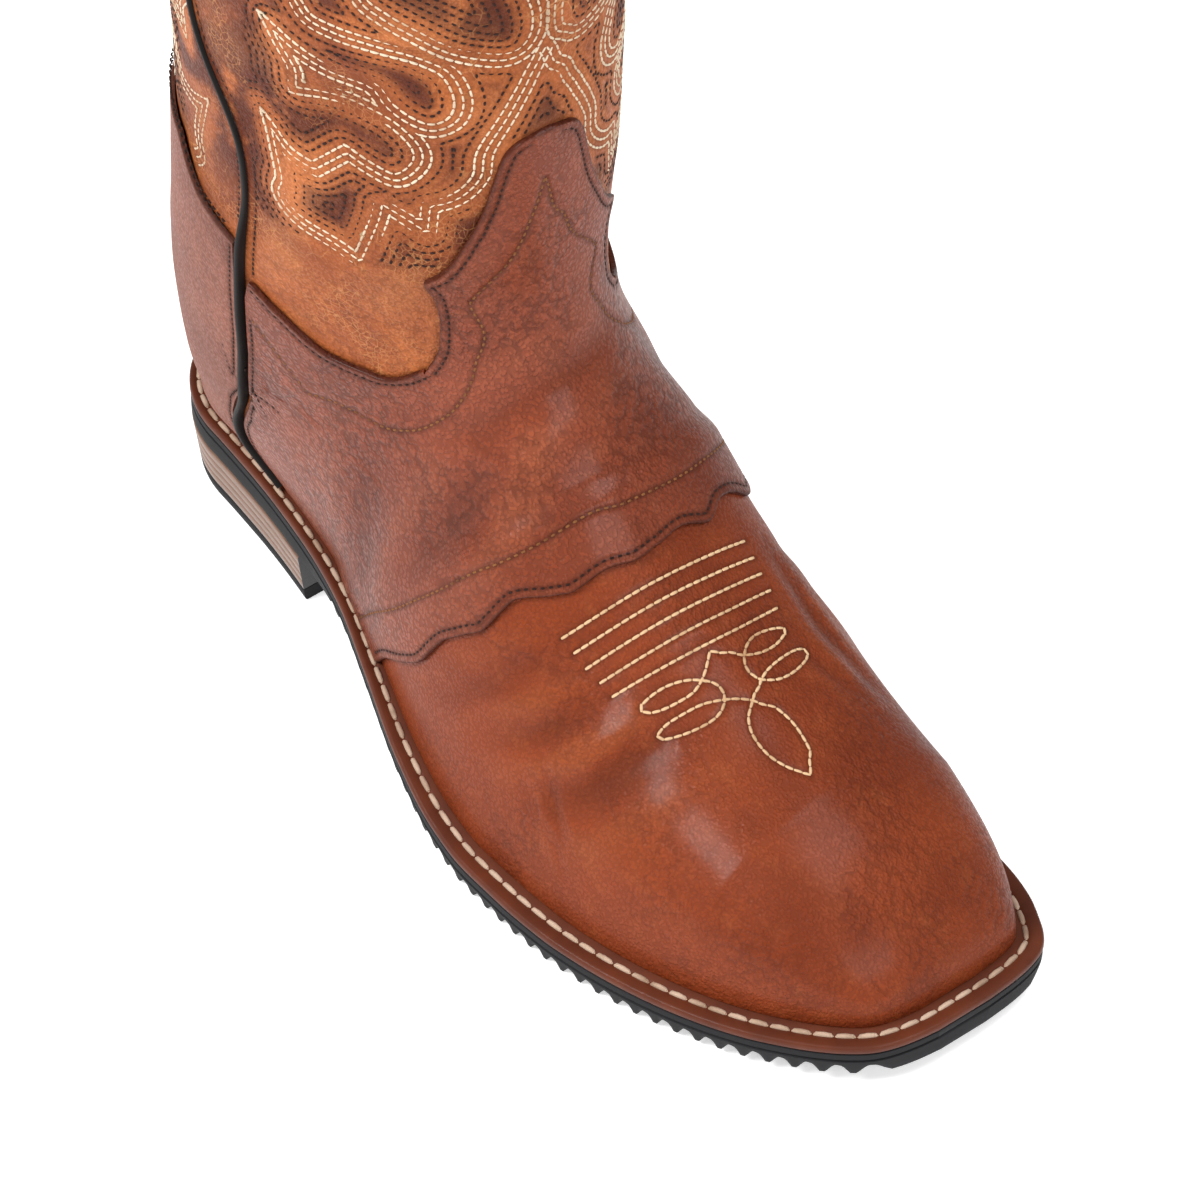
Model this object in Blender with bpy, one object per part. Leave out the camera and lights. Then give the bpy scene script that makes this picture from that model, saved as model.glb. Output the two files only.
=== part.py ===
"""A right western boot standing empty on its sole, in metres, +Z up, toe along -Y, lateral side at -X.

The origin lies on the floor under the middle of the heel. `along` runs from the heel's back to the toe.
"""

import math

import bmesh
import bpy
import numpy as np

# Driving sizes
LENGTH = 0.306
BALL = 0.112
HEIGHT = 0.300
HEEL_MIDDLE = 0.038
HEEL_LIFT = 0.0178
HEEL_LENGTH = 0.077
TOE_SPRING = 0.0053
HEEL_ROUND = 0.032

# Thicknesses and clearances
GAP = 0.0003
SKIN_GAP = 0.0004
WALL = 0.0022
OVERLAY = 0.0014
WELT = 0.0025
OUTSOLE = 0.0082
CAP = 0.0043
INSOLE = 0.0040
SEAM_WIDTH = 0.0026
SEAM_PROUD = 0.0011

# The sole's side
LUG_PITCH = 0.0058
LUG_DEPTH = 0.0040
LUG_FLAT = 0.0011
SHANK_PLAIN = 0.0172
TOE_PLAIN = 0.0025
LUG_FIRST = HEEL_LENGTH + SHANK_PLAIN
LUG_LAST = LENGTH - TOE_PLAIN
SIDE_STEP = 0.0002
LUG_UNDERCUT = 0.0010
HEEL_TAPER = 0.0022

# The welt shows this much outside the upper's foot
FEATHER = 0.0042
FEATHER_TOE = 0.0074

# The ramp from the heel's seat to the tread, as shares of the length
RAMP_START = 0.31
RAMP_END = 0.62
SPRING_START = 0.72

# How the toe box drops and how full its front is
TOE_DROP = 0.016
TOE_FULL = 2.5

# Lengths below this count as nothing
TINY = 1e-15

# The sections over which the foot turns up into the back seam
HEEL_TURN = 0.35

# The collar rises at the sides over this last part of the shaft
COLLAR_RISE = 0.024
COLLAR_REACH = 0.20

# The welt's edge: shares of the length, then of the ball's width on each side of the axis
OUTLINE_COLUMNS = ("along", "lateral", "medial")
OUTLINE = (
    (0.000, 0.286, 0.281),
    (0.082, 0.288, 0.286),
    (0.163, 0.303, 0.286),
    (0.261, 0.342, 0.263),
    (0.340, 0.396, 0.241),
    (0.408, 0.461, 0.237),
    (0.490, 0.536, 0.277),
    (0.556, 0.576, 0.335),
    (0.605, 0.588, 0.375),
    (0.654, 0.587, 0.406),
    (0.703, 0.578, 0.420),
    (0.752, 0.555, 0.420),
    (0.801, 0.520, 0.413),
    (0.850, 0.473, 0.402),
    (0.899, 0.410, 0.387),
    (0.931, 0.355, 0.366),
    (0.954, 0.308, 0.339),
    (0.974, 0.256, 0.308),
    (0.986, 0.212, 0.275),
    (0.993, 0.165, 0.228),
    (0.9975, 0.112, 0.165),
    (1.000, 0.060, 0.090),
)

# One row for each section of the upper. base and along are shares of the length, rise and up of the
# height, lateral, medial, ridge and seam of the ball's width. Up to the heel's back the base follows the
# welt; past it the base climbs the back seam.
SECTION_COLUMNS = ("base", "rise", "along", "up", "lateral", "medial", "fullness", "ridge", "seam", "strips")
SECTIONS = (
    (0.850, 0.000, 0.828, 0.178, 0.354, 0.362, 2.6, 0.009, 0.0, 2),
    (0.760, 0.000, 0.755, 0.202, 0.370, 0.393, 2.4, 0.000, 0.0, 2),
    (0.665, 0.000, 0.662, 0.243, 0.361, 0.424, 2.3, -0.014, 0.0, 2),
    (0.560, 0.000, 0.602, 0.290, 0.340, 0.430, 2.1, -0.031, 0.0, 3),
    (0.440, 0.000, 0.560, 0.334, 0.325, 0.426, 1.9, -0.040, 0.0, 3),
    (0.320, 0.000, 0.529, 0.372, 0.318, 0.410, 1.65, -0.044, 0.0, 3),
    (0.200, 0.000, 0.506, 0.405, 0.329, 0.402, 1.4, -0.045, 0.0, 2),
    (0.100, 0.000, 0.491, 0.432, 0.347, 0.400, 1.2, -0.044, 0.0, 2),
    (0.035, 0.000, 0.484, 0.452, 0.362, 0.402, 1.05, -0.043, 0.0, 3),
    (0.000, 0.000, 0.480, 0.466, 0.376, 0.405, 1.0, -0.042, 0.0, 1),
    (0.000, 0.060, 0.477, 0.488, 0.392, 0.408, 1.0, -0.042, -0.009, 1),
    (0.000, 0.170, 0.474, 0.527, 0.415, 0.425, 1.0, -0.042, -0.018, 1),
    (0.000, 0.290, 0.475, 0.584, 0.435, 0.447, 1.0, -0.042, -0.032, 1),
    (0.000, 0.430, 0.477, 0.665, 0.445, 0.455, 1.0, -0.042, -0.042, 2),
    (0.000, 0.640, 0.484, 0.800, 0.455, 0.457, 1.0, -0.042, -0.042, 2),
    (0.000, 0.904, 0.494, 1.000, 0.457, 0.457, 1.0, -0.042, -0.042, 1),
)

FLOWING_COLUMNS = ("along", "up", "lateral", "medial", "fullness", "ridge", "seam")

# The back seam from the feather line up: rise in shares of the height, lean in shares of the length
BACK_COLUMNS = ("rise", "lean")
BACK = (
    (0.000, 0.000),
    (0.050, -0.009),
    (0.130, -0.010),
    (0.210, -0.002),
    (0.300, 0.014),
    (0.430, 0.026),
    (0.640, 0.020),
    (0.910, 0.004),
)


def named(rows, columns):
    """A table's columns by name."""
    return {name: np.array([row[i] for row in rows]) for i, name in enumerate(columns)}


def smooth(x, y, at):
    """A curve through the points that never overshoots them."""
    x, y, at = np.asarray(x, float), np.asarray(y, float), np.asarray(at, float)
    step = np.diff(x)
    rise = np.diff(y) / step
    slope = np.zeros(len(x))
    slope[0], slope[-1] = rise[0], rise[-1]
    one_way = np.flatnonzero(rise[:-1] * rise[1:] > 0)
    near = 2 * step[1:] + step[:-1]
    far = step[1:] + 2 * step[:-1]
    for j in one_way:
        slope[j + 1] = (near[j] + far[j]) / (near[j] / rise[j] + far[j] / rise[j + 1])
    i = np.clip(np.searchsorted(x, at, side="right") - 1, 0, len(x) - 2)
    s = (at - x[i]) / step[i]
    start = y[i] * (1 + 2 * s) + slope[i] * step[i] * s
    end = y[i + 1] * (3 - 2 * s) + slope[i + 1] * step[i] * (s - 1)
    return start * (1 - s) ** 2 + end * s**2


def flowing(values, at):
    """A curve through evenly spaced values, smooth also at its turns."""
    values, at = np.asarray(values, float), np.asarray(at, float)
    slope = np.gradient(values)
    i = np.clip(np.floor(at).astype(int), 0, len(values) - 2)
    s = at - i
    start = values[i] * (1 + 2 * s) + slope[i] * s
    end = values[i + 1] * (3 - 2 * s) + slope[i + 1] * (s - 1)
    return start * (1 - s) ** 2 + end * s**2


def soft_step(low, high, at):
    s = np.clip((np.asarray(at, float) - low) / (high - low), 0, 1)
    return s * s * (3 - 2 * s)


EDGE = named(OUTLINE, OUTLINE_COLUMNS)
SECTION = named(SECTIONS, SECTION_COLUMNS)
SEAM_BACK = named(BACK, BACK_COLUMNS)
LAST_SECTION = len(SECTIONS)
HEEL_SECTION = 1 + int(np.flatnonzero(SECTION["rise"] == 0)[-1])


def welt_top(along):
    """Height of the welt's upper face."""
    share = np.asarray(along, float) / LENGTH
    ramp = soft_step(RAMP_START, RAMP_END, share)
    toe = np.clip((share - SPRING_START) / (1 - SPRING_START), 0, 1)
    return OUTSOLE + GAP + WELT + HEEL_LIFT * (1 - ramp) + TOE_SPRING * toe**2


def edge(side, along):
    """Distance of the welt's edge from the axis."""
    width = smooth(EDGE["along"] * LENGTH, EDGE[side] * BALL, along)
    near = np.clip(1 - along / HEEL_ROUND, 0, 1)
    return width * np.sqrt(1 - near**2)


def feather(along):
    """Width of welt that shows outside the upper."""
    return FEATHER + (FEATHER_TOE - FEATHER) * soft_step(0.25, 0.70, along / LENGTH)


def inner_edge(side, inset):
    """The edge moved inwards, by a number or a function of `along`, as two lists: along and width."""
    turn = np.linspace(0, math.pi, 500)
    along = LENGTH * (1 - np.cos(turn)) / 2
    width = edge(side, along)
    ahead, out = np.gradient(along), np.gradient(width)
    size = np.hypot(ahead, out)
    depth = inset(along) if callable(inset) else inset + 0 * along
    moved = along + depth * out / size
    narrow = width - depth * ahead / size
    inside = (moved >= depth[0]) & (moved <= LENGTH - depth[-1])
    moved, narrow = moved[inside], narrow[inside]
    forward = np.concatenate([[True], np.diff(np.maximum.accumulate(moved)) > 0])
    return moved[forward], np.maximum(narrow[forward], 0)


def upper_inset(along):
    return feather(along) + OVERLAY + SKIN_GAP


FOOT = {side: inner_edge(side, upper_inset) for side in ("lateral", "medial")}
FOOT_BACK = float(upper_inset(0.0))
FOOT_FRONT = LENGTH - float(upper_inset(LENGTH))


def section(k):
    """What shapes the section at place k: 0 is the toe's front, 1 the toe box's end, then a table row each."""
    k = np.asarray(k, float)
    row = np.maximum(k - 1, 0)
    index = np.arange(LAST_SECTION)
    found = {name: flowing(SECTION[name], row) for name in FLOWING_COLUMNS}
    base = FOOT_BACK + smooth(index, SECTION["base"], row) * (FOOT_FRONT - FOOT_BACK)
    rise = smooth(index, SECTION["rise"], row)
    toe = k < 1
    turn = np.cos(np.clip(k, 0, 1) * math.pi / 2)
    toe_start = FOOT_BACK + SECTION["base"][0] * (FOOT_FRONT - FOOT_BACK)
    base = np.where(toe, toe_start + (FOOT_FRONT - toe_start) * turn, base)
    lean = smooth(SEAM_BACK["rise"], SEAM_BACK["lean"], rise) * LENGTH
    foot = rise <= 0
    base_along = np.where(foot, base, FOOT_BACK + lean)
    base_up = welt_top(base_along) + GAP + rise * HEIGHT
    top_along = np.where(toe, base, found["along"] * LENGTH)
    round_off = (1 - turn**TOE_FULL) ** (1 / TOE_FULL)
    toe_up = base_up + (found["up"] * HEIGHT - TOE_DROP * turn - base_up) * round_off
    top_up = np.where(toe, toe_up, found["up"] * HEIGHT)
    lateral = np.interp(base_along, *FOOT["lateral"])
    medial = np.interp(base_along, *FOOT["medial"])
    half = np.where(foot, (lateral + medial) / 2, 0)
    toe_half = (np.interp(toe_start, *FOOT["lateral"]) + np.interp(toe_start, *FOOT["medial"])) / 2
    shrink = np.where(toe, half / toe_half, 1)
    return {
        "base_along": base_along,
        "base_up": base_up,
        "top_along": top_along,
        "top_up": top_up,
        "half": half,
        "lateral": found["lateral"] * BALL * shrink,
        "medial": found["medial"] * BALL * shrink,
        "fullness": found["fullness"],
        "middle": np.where(foot, (medial - lateral) / 2, found["seam"] * BALL),
        "ridge": found["ridge"] * BALL,
        "foot": foot,
        "lift": COLLAR_RISE * soft_step(1 - COLLAR_REACH, 1, found["up"]),
    }


def across(shape, s, side):
    """The point at share s of the way from the base to the ridge, on one side."""
    mid = np.where(side < 0, shape["lateral"], shape["medial"])
    full = 1 - s ** shape["fullness"]
    middle_full = 1 - 0.5 ** shape["fullness"]
    swell = 2 * (mid**2 / middle_full - shape["half"] ** 2)
    width = np.sqrt(np.maximum(full * (shape["half"] ** 2 + swell * s), 0))
    x = shape["middle"] * (1 - s) + shape["ridge"] * s + side * width
    along = shape["base_along"] * (1 - s) + shape["top_along"] * s
    up = shape["base_up"] * (1 - s) + shape["top_up"] * s + shape["lift"] * (4 * s * (1 - s)) ** 2
    return np.stack([x, HEEL_MIDDLE - along, up], -1)


def surface(k, v):
    """Points of the upper's outside, v from the lateral foot (0) over the ridge (0.5) to the medial (1)."""
    k, v = np.broadcast_arrays(np.asarray(k, float), np.asarray(v, float))
    flat_k, flat_v = k.ravel(), v.ravel()
    shape = section(flat_k)
    side = np.where(flat_v <= 0.5, -1.0, 1.0)
    share = 1 - np.abs(2 * flat_v - 1)
    dense = (1 - np.cos(np.linspace(0, math.pi, 49))) / 2
    wide = {name: value[:, None] for name, value in shape.items()}
    path = across(wide, dense[None, :], side[:, None])
    steps = np.linalg.norm(np.diff(path, axis=1), axis=2)
    length = np.concatenate([np.zeros((len(flat_k), 1)), np.cumsum(steps, axis=1)], 1)
    goal = share * length[:, -1]
    i = np.clip((length <= goal[:, None]).sum(1) - 1, 0, len(dense) - 2)
    row = np.arange(len(flat_k))
    part = (goal - length[row, i]) / np.maximum(length[row, i + 1] - length[row, i], TINY)
    s = dense[i] + (dense[i + 1] - dense[i]) * np.clip(part, 0, 1)
    points = across(shape, s, side)
    straight = shape["middle"] + (2 * flat_v - 1) * shape["half"]
    points[:, 0] = np.where(flat_k <= 0, straight, points[:, 0])
    return points.reshape(k.shape + (3,))


def facing(k, v):
    """Unit normals of the surface, from its run both ways."""
    step_k, step_v = 0.02, 0.004
    near, far = np.maximum(k - step_k, 0), np.minimum(k + step_k, LAST_SECTION)
    low, high = np.maximum(v - step_v, 0), np.minimum(v + step_v, 1)
    back = surface(far, v) - surface(near, v)
    over = surface(k, high) - surface(k, low)
    normal = np.cross(over, back)
    return normal / np.maximum(np.linalg.norm(normal, axis=-1, keepdims=True), TINY)


def outward(k, v):
    """Unit normals of the upper's outside, blended where its foot turns up into the back seam."""
    k, v = np.broadcast_arrays(np.asarray(k, float), np.asarray(v, float))
    low, high = HEEL_SECTION - HEEL_TURN, HEEL_SECTION + HEEL_TURN
    share = soft_step(low, high, k)[..., None]
    normal = (1 - share) * facing(np.minimum(k, low), v) + share * facing(np.maximum(k, high), v)
    return normal / np.maximum(np.linalg.norm(normal, axis=-1, keepdims=True), TINY)


def skin(k, v, proud):
    """The upper's outside moved out by `proud`, its foot on the welt and its ends joined at the back seam."""
    k, v, proud = np.broadcast_arrays(np.asarray(k, float), v, proud)
    on_foot = section(k)["foot"]
    end = (v <= 0) | (v >= 1)
    foot = (on_foot & end) | (k <= 0)
    normal = outward(k, v)
    level = normal * (1, 1, 0)
    level[k <= 0] = (0, -1, 0)
    level[k >= HEEL_SECTION] = (0, 1, 0)
    level /= np.maximum(np.linalg.norm(level, axis=-1, keepdims=True), TINY)
    normal = np.where(foot[..., None], level, normal)
    points = surface(k, v) + normal * proud[..., None]
    on_welt = welt_top(HEEL_MIDDLE - points[..., 1]) + GAP
    points[..., 2] = np.where(foot, on_welt, points[..., 2])
    other = surface(k, 1 - v) + outward(k, 1 - v) * proud[..., None]
    seam = end & ~on_foot
    return np.where(seam[..., None], (points + other) / 2, points)


# The lateral side seam up from the welt, and the medial one mirrored
SEAM_COLUMNS = ("section", "place")
SEAM = (
    (6.95, 0.000),
    (7.12, 0.014),
    (7.35, 0.030),
    (7.70, 0.054),
    (8.40, 0.112),
    (9.43, 0.190),
    (9.75, 0.206),
    (10.00, 0.217),
    (10.50, 0.2285),
    (11.56, 0.247),
    (12.80, 0.255),
    (13.60, 0.259),
    (14.03, 0.256),
    (14.30, 0.241),
    (14.60, 0.210),
    (14.80, 0.199),
    (15.30, 0.190),
    (16.00, 0.188),
)

# The saddle's scalloped front edge from the lateral to the medial foot
SCALLOP_COLUMNS = ("place", "section")
SCALLOP = (
    (0.000, 5.22),
    (0.040, 5.18),
    (0.094, 5.00),
    (0.135, 4.88),
    (0.190, 4.85),
    (0.232, 4.72),
    (0.265, 4.60),
    (0.313, 4.61),
    (0.362, 4.33),
    (0.390, 4.18),
    (0.430, 4.15),
    (0.475, 4.01),
    (0.505, 4.04),
    (0.542, 4.11),
    (0.582, 4.02),
    (0.617, 4.27),
    (0.640, 4.31),
    (0.680, 4.27),
    (0.730, 4.55),
    (0.780, 4.56),
    (0.820, 4.80),
    (0.880, 4.88),
    (0.940, 5.10),
    (1.000, 5.22),
)

# The vamp's back edge, hidden under the saddle
LAP_COLUMNS = ("place", "section")
LAP = (
    (0.00, 5.50),
    (0.12, 5.32),
    (0.25, 5.10),
    (0.50, 4.66),
    (0.75, 5.06),
    (0.88, 5.30),
    (1.00, 5.50),
)

# The saddle's upper edge beside the tongue, out to the side seams
SHOULDER_COLUMNS = ("away", "section")
SHOULDER = (
    (0.079, 10.22),
    (0.099, 10.07),
    (0.127, 10.67),
    (0.160, 11.29),
    (0.197, 11.96),
    (0.232, 12.40),
    (0.500, 12.50),
)

# The tongue of the saddle, from its middle out
TONGUE_COLUMNS = ("away", "section")
TONGUE = (
    (0.000, 14.30),
    (0.026, 14.20),
    (0.034, 13.90),
    (0.042, 13.45),
    (0.056, 12.95),
    (0.073, 12.60),
)
TONGUE_MIDDLE = 0.489
TONGUE_SIDE = 0.076
TONGUE_FOOT = 10.0

# The counter's upper edge, from the side seam back to the back seam
COUNTER_COLUMNS = ("section", "away")
COUNTER = (
    (12.95, 0.247),
    (13.30, 0.200),
    (13.75, 0.160),
    (13.90, 0.100),
    (13.98, 0.000),
)
SEAM_ROOM = SEAM_WIDTH / 2 + 2 * SKIN_GAP

# How finely the pieces are drawn
TOE_STRIPS = 5
COLUMNS = 30
COLUMN_CROWDING = 1.2
RIM_STEPS = 40
HEEL_STEPS = 12
NEAR_EDGE = 0.12

SEAM_LINE = named(SEAM, SEAM_COLUMNS)
SCALLOP_LINE = named(SCALLOP, SCALLOP_COLUMNS)
LAP_LINE = named(LAP, LAP_COLUMNS)
SHOULDER_LINE = named(SHOULDER, SHOULDER_COLUMNS)
TONGUE_LINE = named(TONGUE, TONGUE_COLUMNS)
COUNTER_LINE = named(COUNTER, COUNTER_COLUMNS)


def section_rows():
    """The places of the mesh rows from the toe's front to the collar."""
    rows = list(np.arange(TOE_STRIPS) / TOE_STRIPS)
    for i, strips in enumerate(SECTION["strips"][:-1]):
        rows += [i + 1 + step / strips for step in range(int(strips))]
    return np.array(rows + [LAST_SECTION])


def column_places():
    """The places of the mesh columns, with a pair at each end of the tongue."""
    half = np.linspace(0, 1, COLUMNS // 2 + 1) ** COLUMN_CROWDING / 2
    even = np.concatenate([half, 1 - half[-2::-1]])
    for side in (-1, 1):
        for away in (TONGUE_LINE["away"][-1], SHOULDER_LINE["away"][0]):
            place = TONGUE_MIDDLE + side * away
            even[np.abs(even - place).argmin()] = place
    return np.unique(even)


ROWS = section_rows()
PLACES = column_places()


def seam_place(k):
    return smooth(SEAM_LINE["section"], SEAM_LINE["place"], k)


def beside_seam(distance):
    """The line that runs `distance` in front of the lateral side seam: its sections and places."""
    k = np.linspace(SEAM_LINE["section"][0], LAST_SECTION - 0.1, 120)
    v = seam_place(k)
    step_k, step_v = 0.01, 0.002
    along_k = (surface(k + step_k, v) - surface(k, v)) / step_k
    along_v = (surface(k, v + step_v) - surface(k, v)) / step_v
    kk, kv, vv = (along_k**2).sum(-1), (along_k * along_v).sum(-1), (along_v**2).sum(-1)
    run_k, run_v = np.gradient(k), np.gradient(v)
    side_k = -(kv * run_k + vv * run_v)
    side_v = kk * run_k + kv * run_v
    size = np.sqrt(kk * side_k**2 + 2 * kv * side_k * side_v + vv * side_v**2)
    return k + distance * side_k / size, v + distance * side_v / size


AHEAD_OF_SEAM = beside_seam(SEAM_ROOM)
BEHIND_SEAM = beside_seam(-SEAM_ROOM)


def saddle_front(v):
    return np.interp(v, SCALLOP_LINE["place"], SCALLOP_LINE["section"])


def vamp_back(v):
    return smooth(LAP_LINE["place"], LAP_LINE["section"], v)


def saddle_back(v):
    """The seams up from the foot and the shoulders between them. The tongue has a patch of its own."""
    side = np.minimum(v, 1 - v)
    rising = slice(0, int(AHEAD_OF_SEAM[1].argmax()))
    seam = np.interp(side, AHEAD_OF_SEAM[1][rising], AHEAD_OF_SEAM[0][rising])
    away = np.abs(v - TONGUE_MIDDLE)
    top = np.interp(away, SHOULDER_LINE["away"], SHOULDER_LINE["section"])
    top = np.where(away < TONGUE_SIDE, TONGUE_FOOT, top)
    return np.where(side < AHEAD_OF_SEAM[1][rising].max(), np.minimum(seam, top), top)


def tongue_foot(v):
    return TONGUE_FOOT + 0 * v


def tongue_top(v):
    return np.interp(np.abs(v - TONGUE_MIDDLE), TONGUE_LINE["away"], TONGUE_LINE["section"])


def saddle_patches():
    """The saddle over the instep and its tongue up the shaft."""
    columns = PLACES[np.abs(PLACES - TONGUE_MIDDLE) < TONGUE_SIDE]
    return patch(saddle_front, saddle_back), patch(tongue_foot, tongue_top, columns)


def patch(front, back, places=None):
    """Grids of sections and places between two edges, on the upper's rows. Rows past an edge lie on it."""
    places = PLACES if places is None else places
    k, v = np.meshgrid(ROWS, places, indexing="ij")
    low, high = np.broadcast_to(front(places), k.shape), np.broadcast_to(back(places), k.shape)
    k = np.where(k > high - NEAR_EDGE, high, np.where(k < low + NEAR_EDGE, low, k))
    keep = np.flatnonzero((ROWS > low.min() - 1) & (ROWS < high.max() + 1.5))
    return k[keep], v[keep]


def counter_low(v):
    """The side seam seen from behind, as a section for each place."""
    rising = slice(0, int(BEHIND_SEAM[1].argmax()))
    return np.interp(np.minimum(v, 1 - v), BEHIND_SEAM[1][rising], BEHIND_SEAM[0][rising])


def counter_high(v):
    return np.interp(np.minimum(v, 1 - v), COUNTER_LINE["away"][::-1], COUNTER_LINE["section"][::-1])


def counter_patches():
    """The two halves of the counter, each from the back seam or the welt to its side seam."""
    corner = COUNTER_LINE["away"][0]
    side = np.append(PLACES[PLACES < corner - 0.01], corner)
    return patch(counter_low, counter_high, side), patch(counter_low, counter_high, 1 - side[::-1])


def clear_scene():
    for thing in list(bpy.data.objects):
        bpy.data.objects.remove(thing, do_unlink=True)


def material(name, colour, roughness):
    made = bpy.data.materials.new(name)
    made.use_nodes = True
    shader = made.node_tree.nodes["Principled BSDF"]
    shader.inputs["Base Color"].default_value = (*colour, 1)
    shader.inputs["Roughness"].default_value = roughness
    shader.inputs["Metallic"].default_value = 0
    return made


def add(name, points, faces, surface_material, parent):
    """One object from points and faces."""
    mesh = bpy.data.meshes.new(name)
    mesh.from_pydata([tuple(map(float, point)) for point in points], [], faces)
    mesh.materials.append(surface_material)
    made = bpy.data.objects.new(name, mesh)
    bpy.context.scene.collection.objects.link(made)
    made.parent = parent
    work = bmesh.new()
    work.from_mesh(mesh)
    bmesh.ops.recalc_face_normals(work, faces=work.faces)
    work.to_mesh(mesh)
    work.free()
    mesh.shade_smooth()
    mesh.set_sharp_from_angle(angle=math.radians(40))
    return made


def shell(name, grids, surface_material, parent):
    """A closed wall between outer and inner grids. Outer points that coincide are one point."""
    outer_points, inner_points, seen, faces = [], [], {}, []
    for outer, inner, medial in grids:
        index = np.zeros(outer.shape[:2], int)
        for i, j in np.ndindex(*outer.shape[:2]):
            key = tuple(np.round(outer[i, j] * 1e6).astype(int))
            if key not in seen:
                seen[key] = len(outer_points)
                outer_points.append(outer[i, j])
                inner_points.append(inner[i, j])
            index[i, j] = seen[key]
        for i, j in np.ndindex(outer.shape[0] - 1, outer.shape[1] - 1):
            a, b = index[i, j], index[i, j + 1]
            c, d = index[i + 1, j + 1], index[i + 1, j]
            halves = ((a, b, d), (b, c, d)) if medial[i, j] else ((a, b, c), (a, c, d))
            faces += [face for face in halves if len(set(face)) == 3]
    edges = {}
    for face in faces:
        for start, end in zip(face, face[1:] + face[:1]):
            edges[(start, end)] = True
    count = len(outer_points)
    rim = [(a, b) for a, b in edges if (b, a) not in edges]
    walls = [(b, a, a + count, b + count) for a, b in rim]
    inside = [tuple(corner + count for corner in reversed(face)) for face in faces]
    return add(name, outer_points + inner_points, faces + inside + walls, surface_material, parent)


def skin_shell(name, patches, inner, outer, surface_material, parent):
    """A shell over patches of the upper, between two distances from its outside."""
    grids = [(skin(k, v, outer(k, v)), skin(k, v, inner(k, v)), v >= 0.5) for k, v in patches]
    return shell(name, grids, surface_material, parent)


def ladder(count, start):
    """Strips across a loop, from its first point to its far end."""
    faces = []
    for i in range(count // 2):
        corners = (i, i + 1, count - 1 - i, (count - i) % count)
        face = tuple(dict.fromkeys(start + corner for corner in corners))
        faces += [face] if len(face) > 2 else []
    return faces


def stack(name, loops, surface_material, parent, closed=False):
    """Loops of one length joined in turn, capped at both ends, or round to the first."""
    count = len(loops[0])
    points = [point for loop in loops for point in loop]
    last = len(loops) - 1
    faces = []
    for low in range(last + closed):
        high = (low + 1) % len(loops)
        for i in range(count):
            j = (i + 1) % count
            faces.append((low * count + i, low * count + j, high * count + j, high * count + i))
    if not closed:
        faces += ladder(count, 0) + ladder(count, last * count)
    return add(name, points, faces, surface_material, parent)


def rim_loop(inset, up, steps=RIM_STEPS):
    """A loop round the sole's edge moved in by `inset`, at the height up(along)."""
    sides = {side: inner_edge(side, inset) for side in ("lateral", "medial")}
    back = max(line[0][0] for line in sides.values())
    front = min(line[0][-1] for line in sides.values())
    along = back + (front - back) * (1 - np.cos(np.linspace(0, math.pi, steps + 1))) / 2
    lateral = np.interp(along, *sides["lateral"])
    medial = np.interp(along, *sides["medial"])
    left = [(-x, HEEL_MIDDLE - t, up(t)) for t, x in zip(along, lateral)]
    right = [(x, HEEL_MIDDLE - t, up(t)) for t, x in zip(along, medial)]
    return left + right[:0:-1]


def heel_loop(inset, up):
    """A D-shaped loop: the sole's edge back to the heel's breast."""
    sides = {side: inner_edge(side, inset) for side in ("lateral", "medial")}
    back = max(line[0][0] for line in sides.values())
    along = back + (HEEL_LENGTH - back) * (1 - np.cos(np.linspace(0, math.pi / 2, HEEL_STEPS + 1)))
    left = [(-np.interp(t, *sides["lateral"]), HEEL_MIDDLE - t, up) for t in along]
    right = [(np.interp(t, *sides["medial"]), HEEL_MIDDLE - t, up) for t in along]
    return left + right[:0:-1]


def tread(along):
    return welt_top(along) - WELT - GAP - OUTSOLE


def sole_stations():
    """Where the outsole is cut across, and how deep its tread is there."""
    heel = LUG_FIRST * (1 - np.cos(np.linspace(0, math.pi / 2, 12)))
    stations = [(max(t, SIDE_STEP), 0.0) for t in heel[:-1]]
    lugs = int((LUG_LAST - LUG_FIRST) / LUG_PITCH)
    for lug in range(lugs):
        start = LUG_FIRST + lug * LUG_PITCH
        stations.append((start, 0.0))
        stations.append((start + LUG_FLAT, 0.0))
        stations.append((start + (LUG_FLAT + LUG_PITCH) / 2, LUG_DEPTH))
    end = LUG_FIRST + lugs * LUG_PITCH
    stations.append((end, 0.0))
    turn = np.sin(np.linspace(0, math.pi / 2, 5))[1:]
    return stations + [(end + (LENGTH - SIDE_STEP - end) * share, 0.0) for share in turn]


def outsole(rubber, parent):
    """The sole plate with its ribs: each station is a section from the lateral to the medial edge."""
    loops = []
    for along, depth in sole_stations():
        reach = np.clip(along, SIDE_STEP, LENGTH - SIDE_STEP)
        under = LUG_UNDERCUT * soft_step(HEEL_LENGTH, LUG_FIRST, along)
        top = welt_top(along) - WELT - GAP
        bottom = tread(along) + depth
        shelf = top - (top - tread(along)) * 0.35
        lateral = np.interp(reach, *inner_edge("lateral", SIDE_STEP))
        medial = np.interp(reach, *inner_edge("medial", SIDE_STEP))
        y = HEEL_MIDDLE - along
        loops.append(
            [
                (-max(lateral - under, 0.001), y, bottom),
                (-max(lateral, 0.001), y, shelf),
                (-max(lateral, 0.001), y, top),
                (max(medial, 0.001), y, top),
                (max(medial, 0.001), y, shelf),
                (max(medial - under, 0.001), y, bottom),
            ]
        )
    return stack("outsole", loops, rubber, parent)


def welt_inside(along):
    return upper_inset(along) + WALL + GAP


def welt_foot(along):
    return welt_top(along) - WELT


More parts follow.
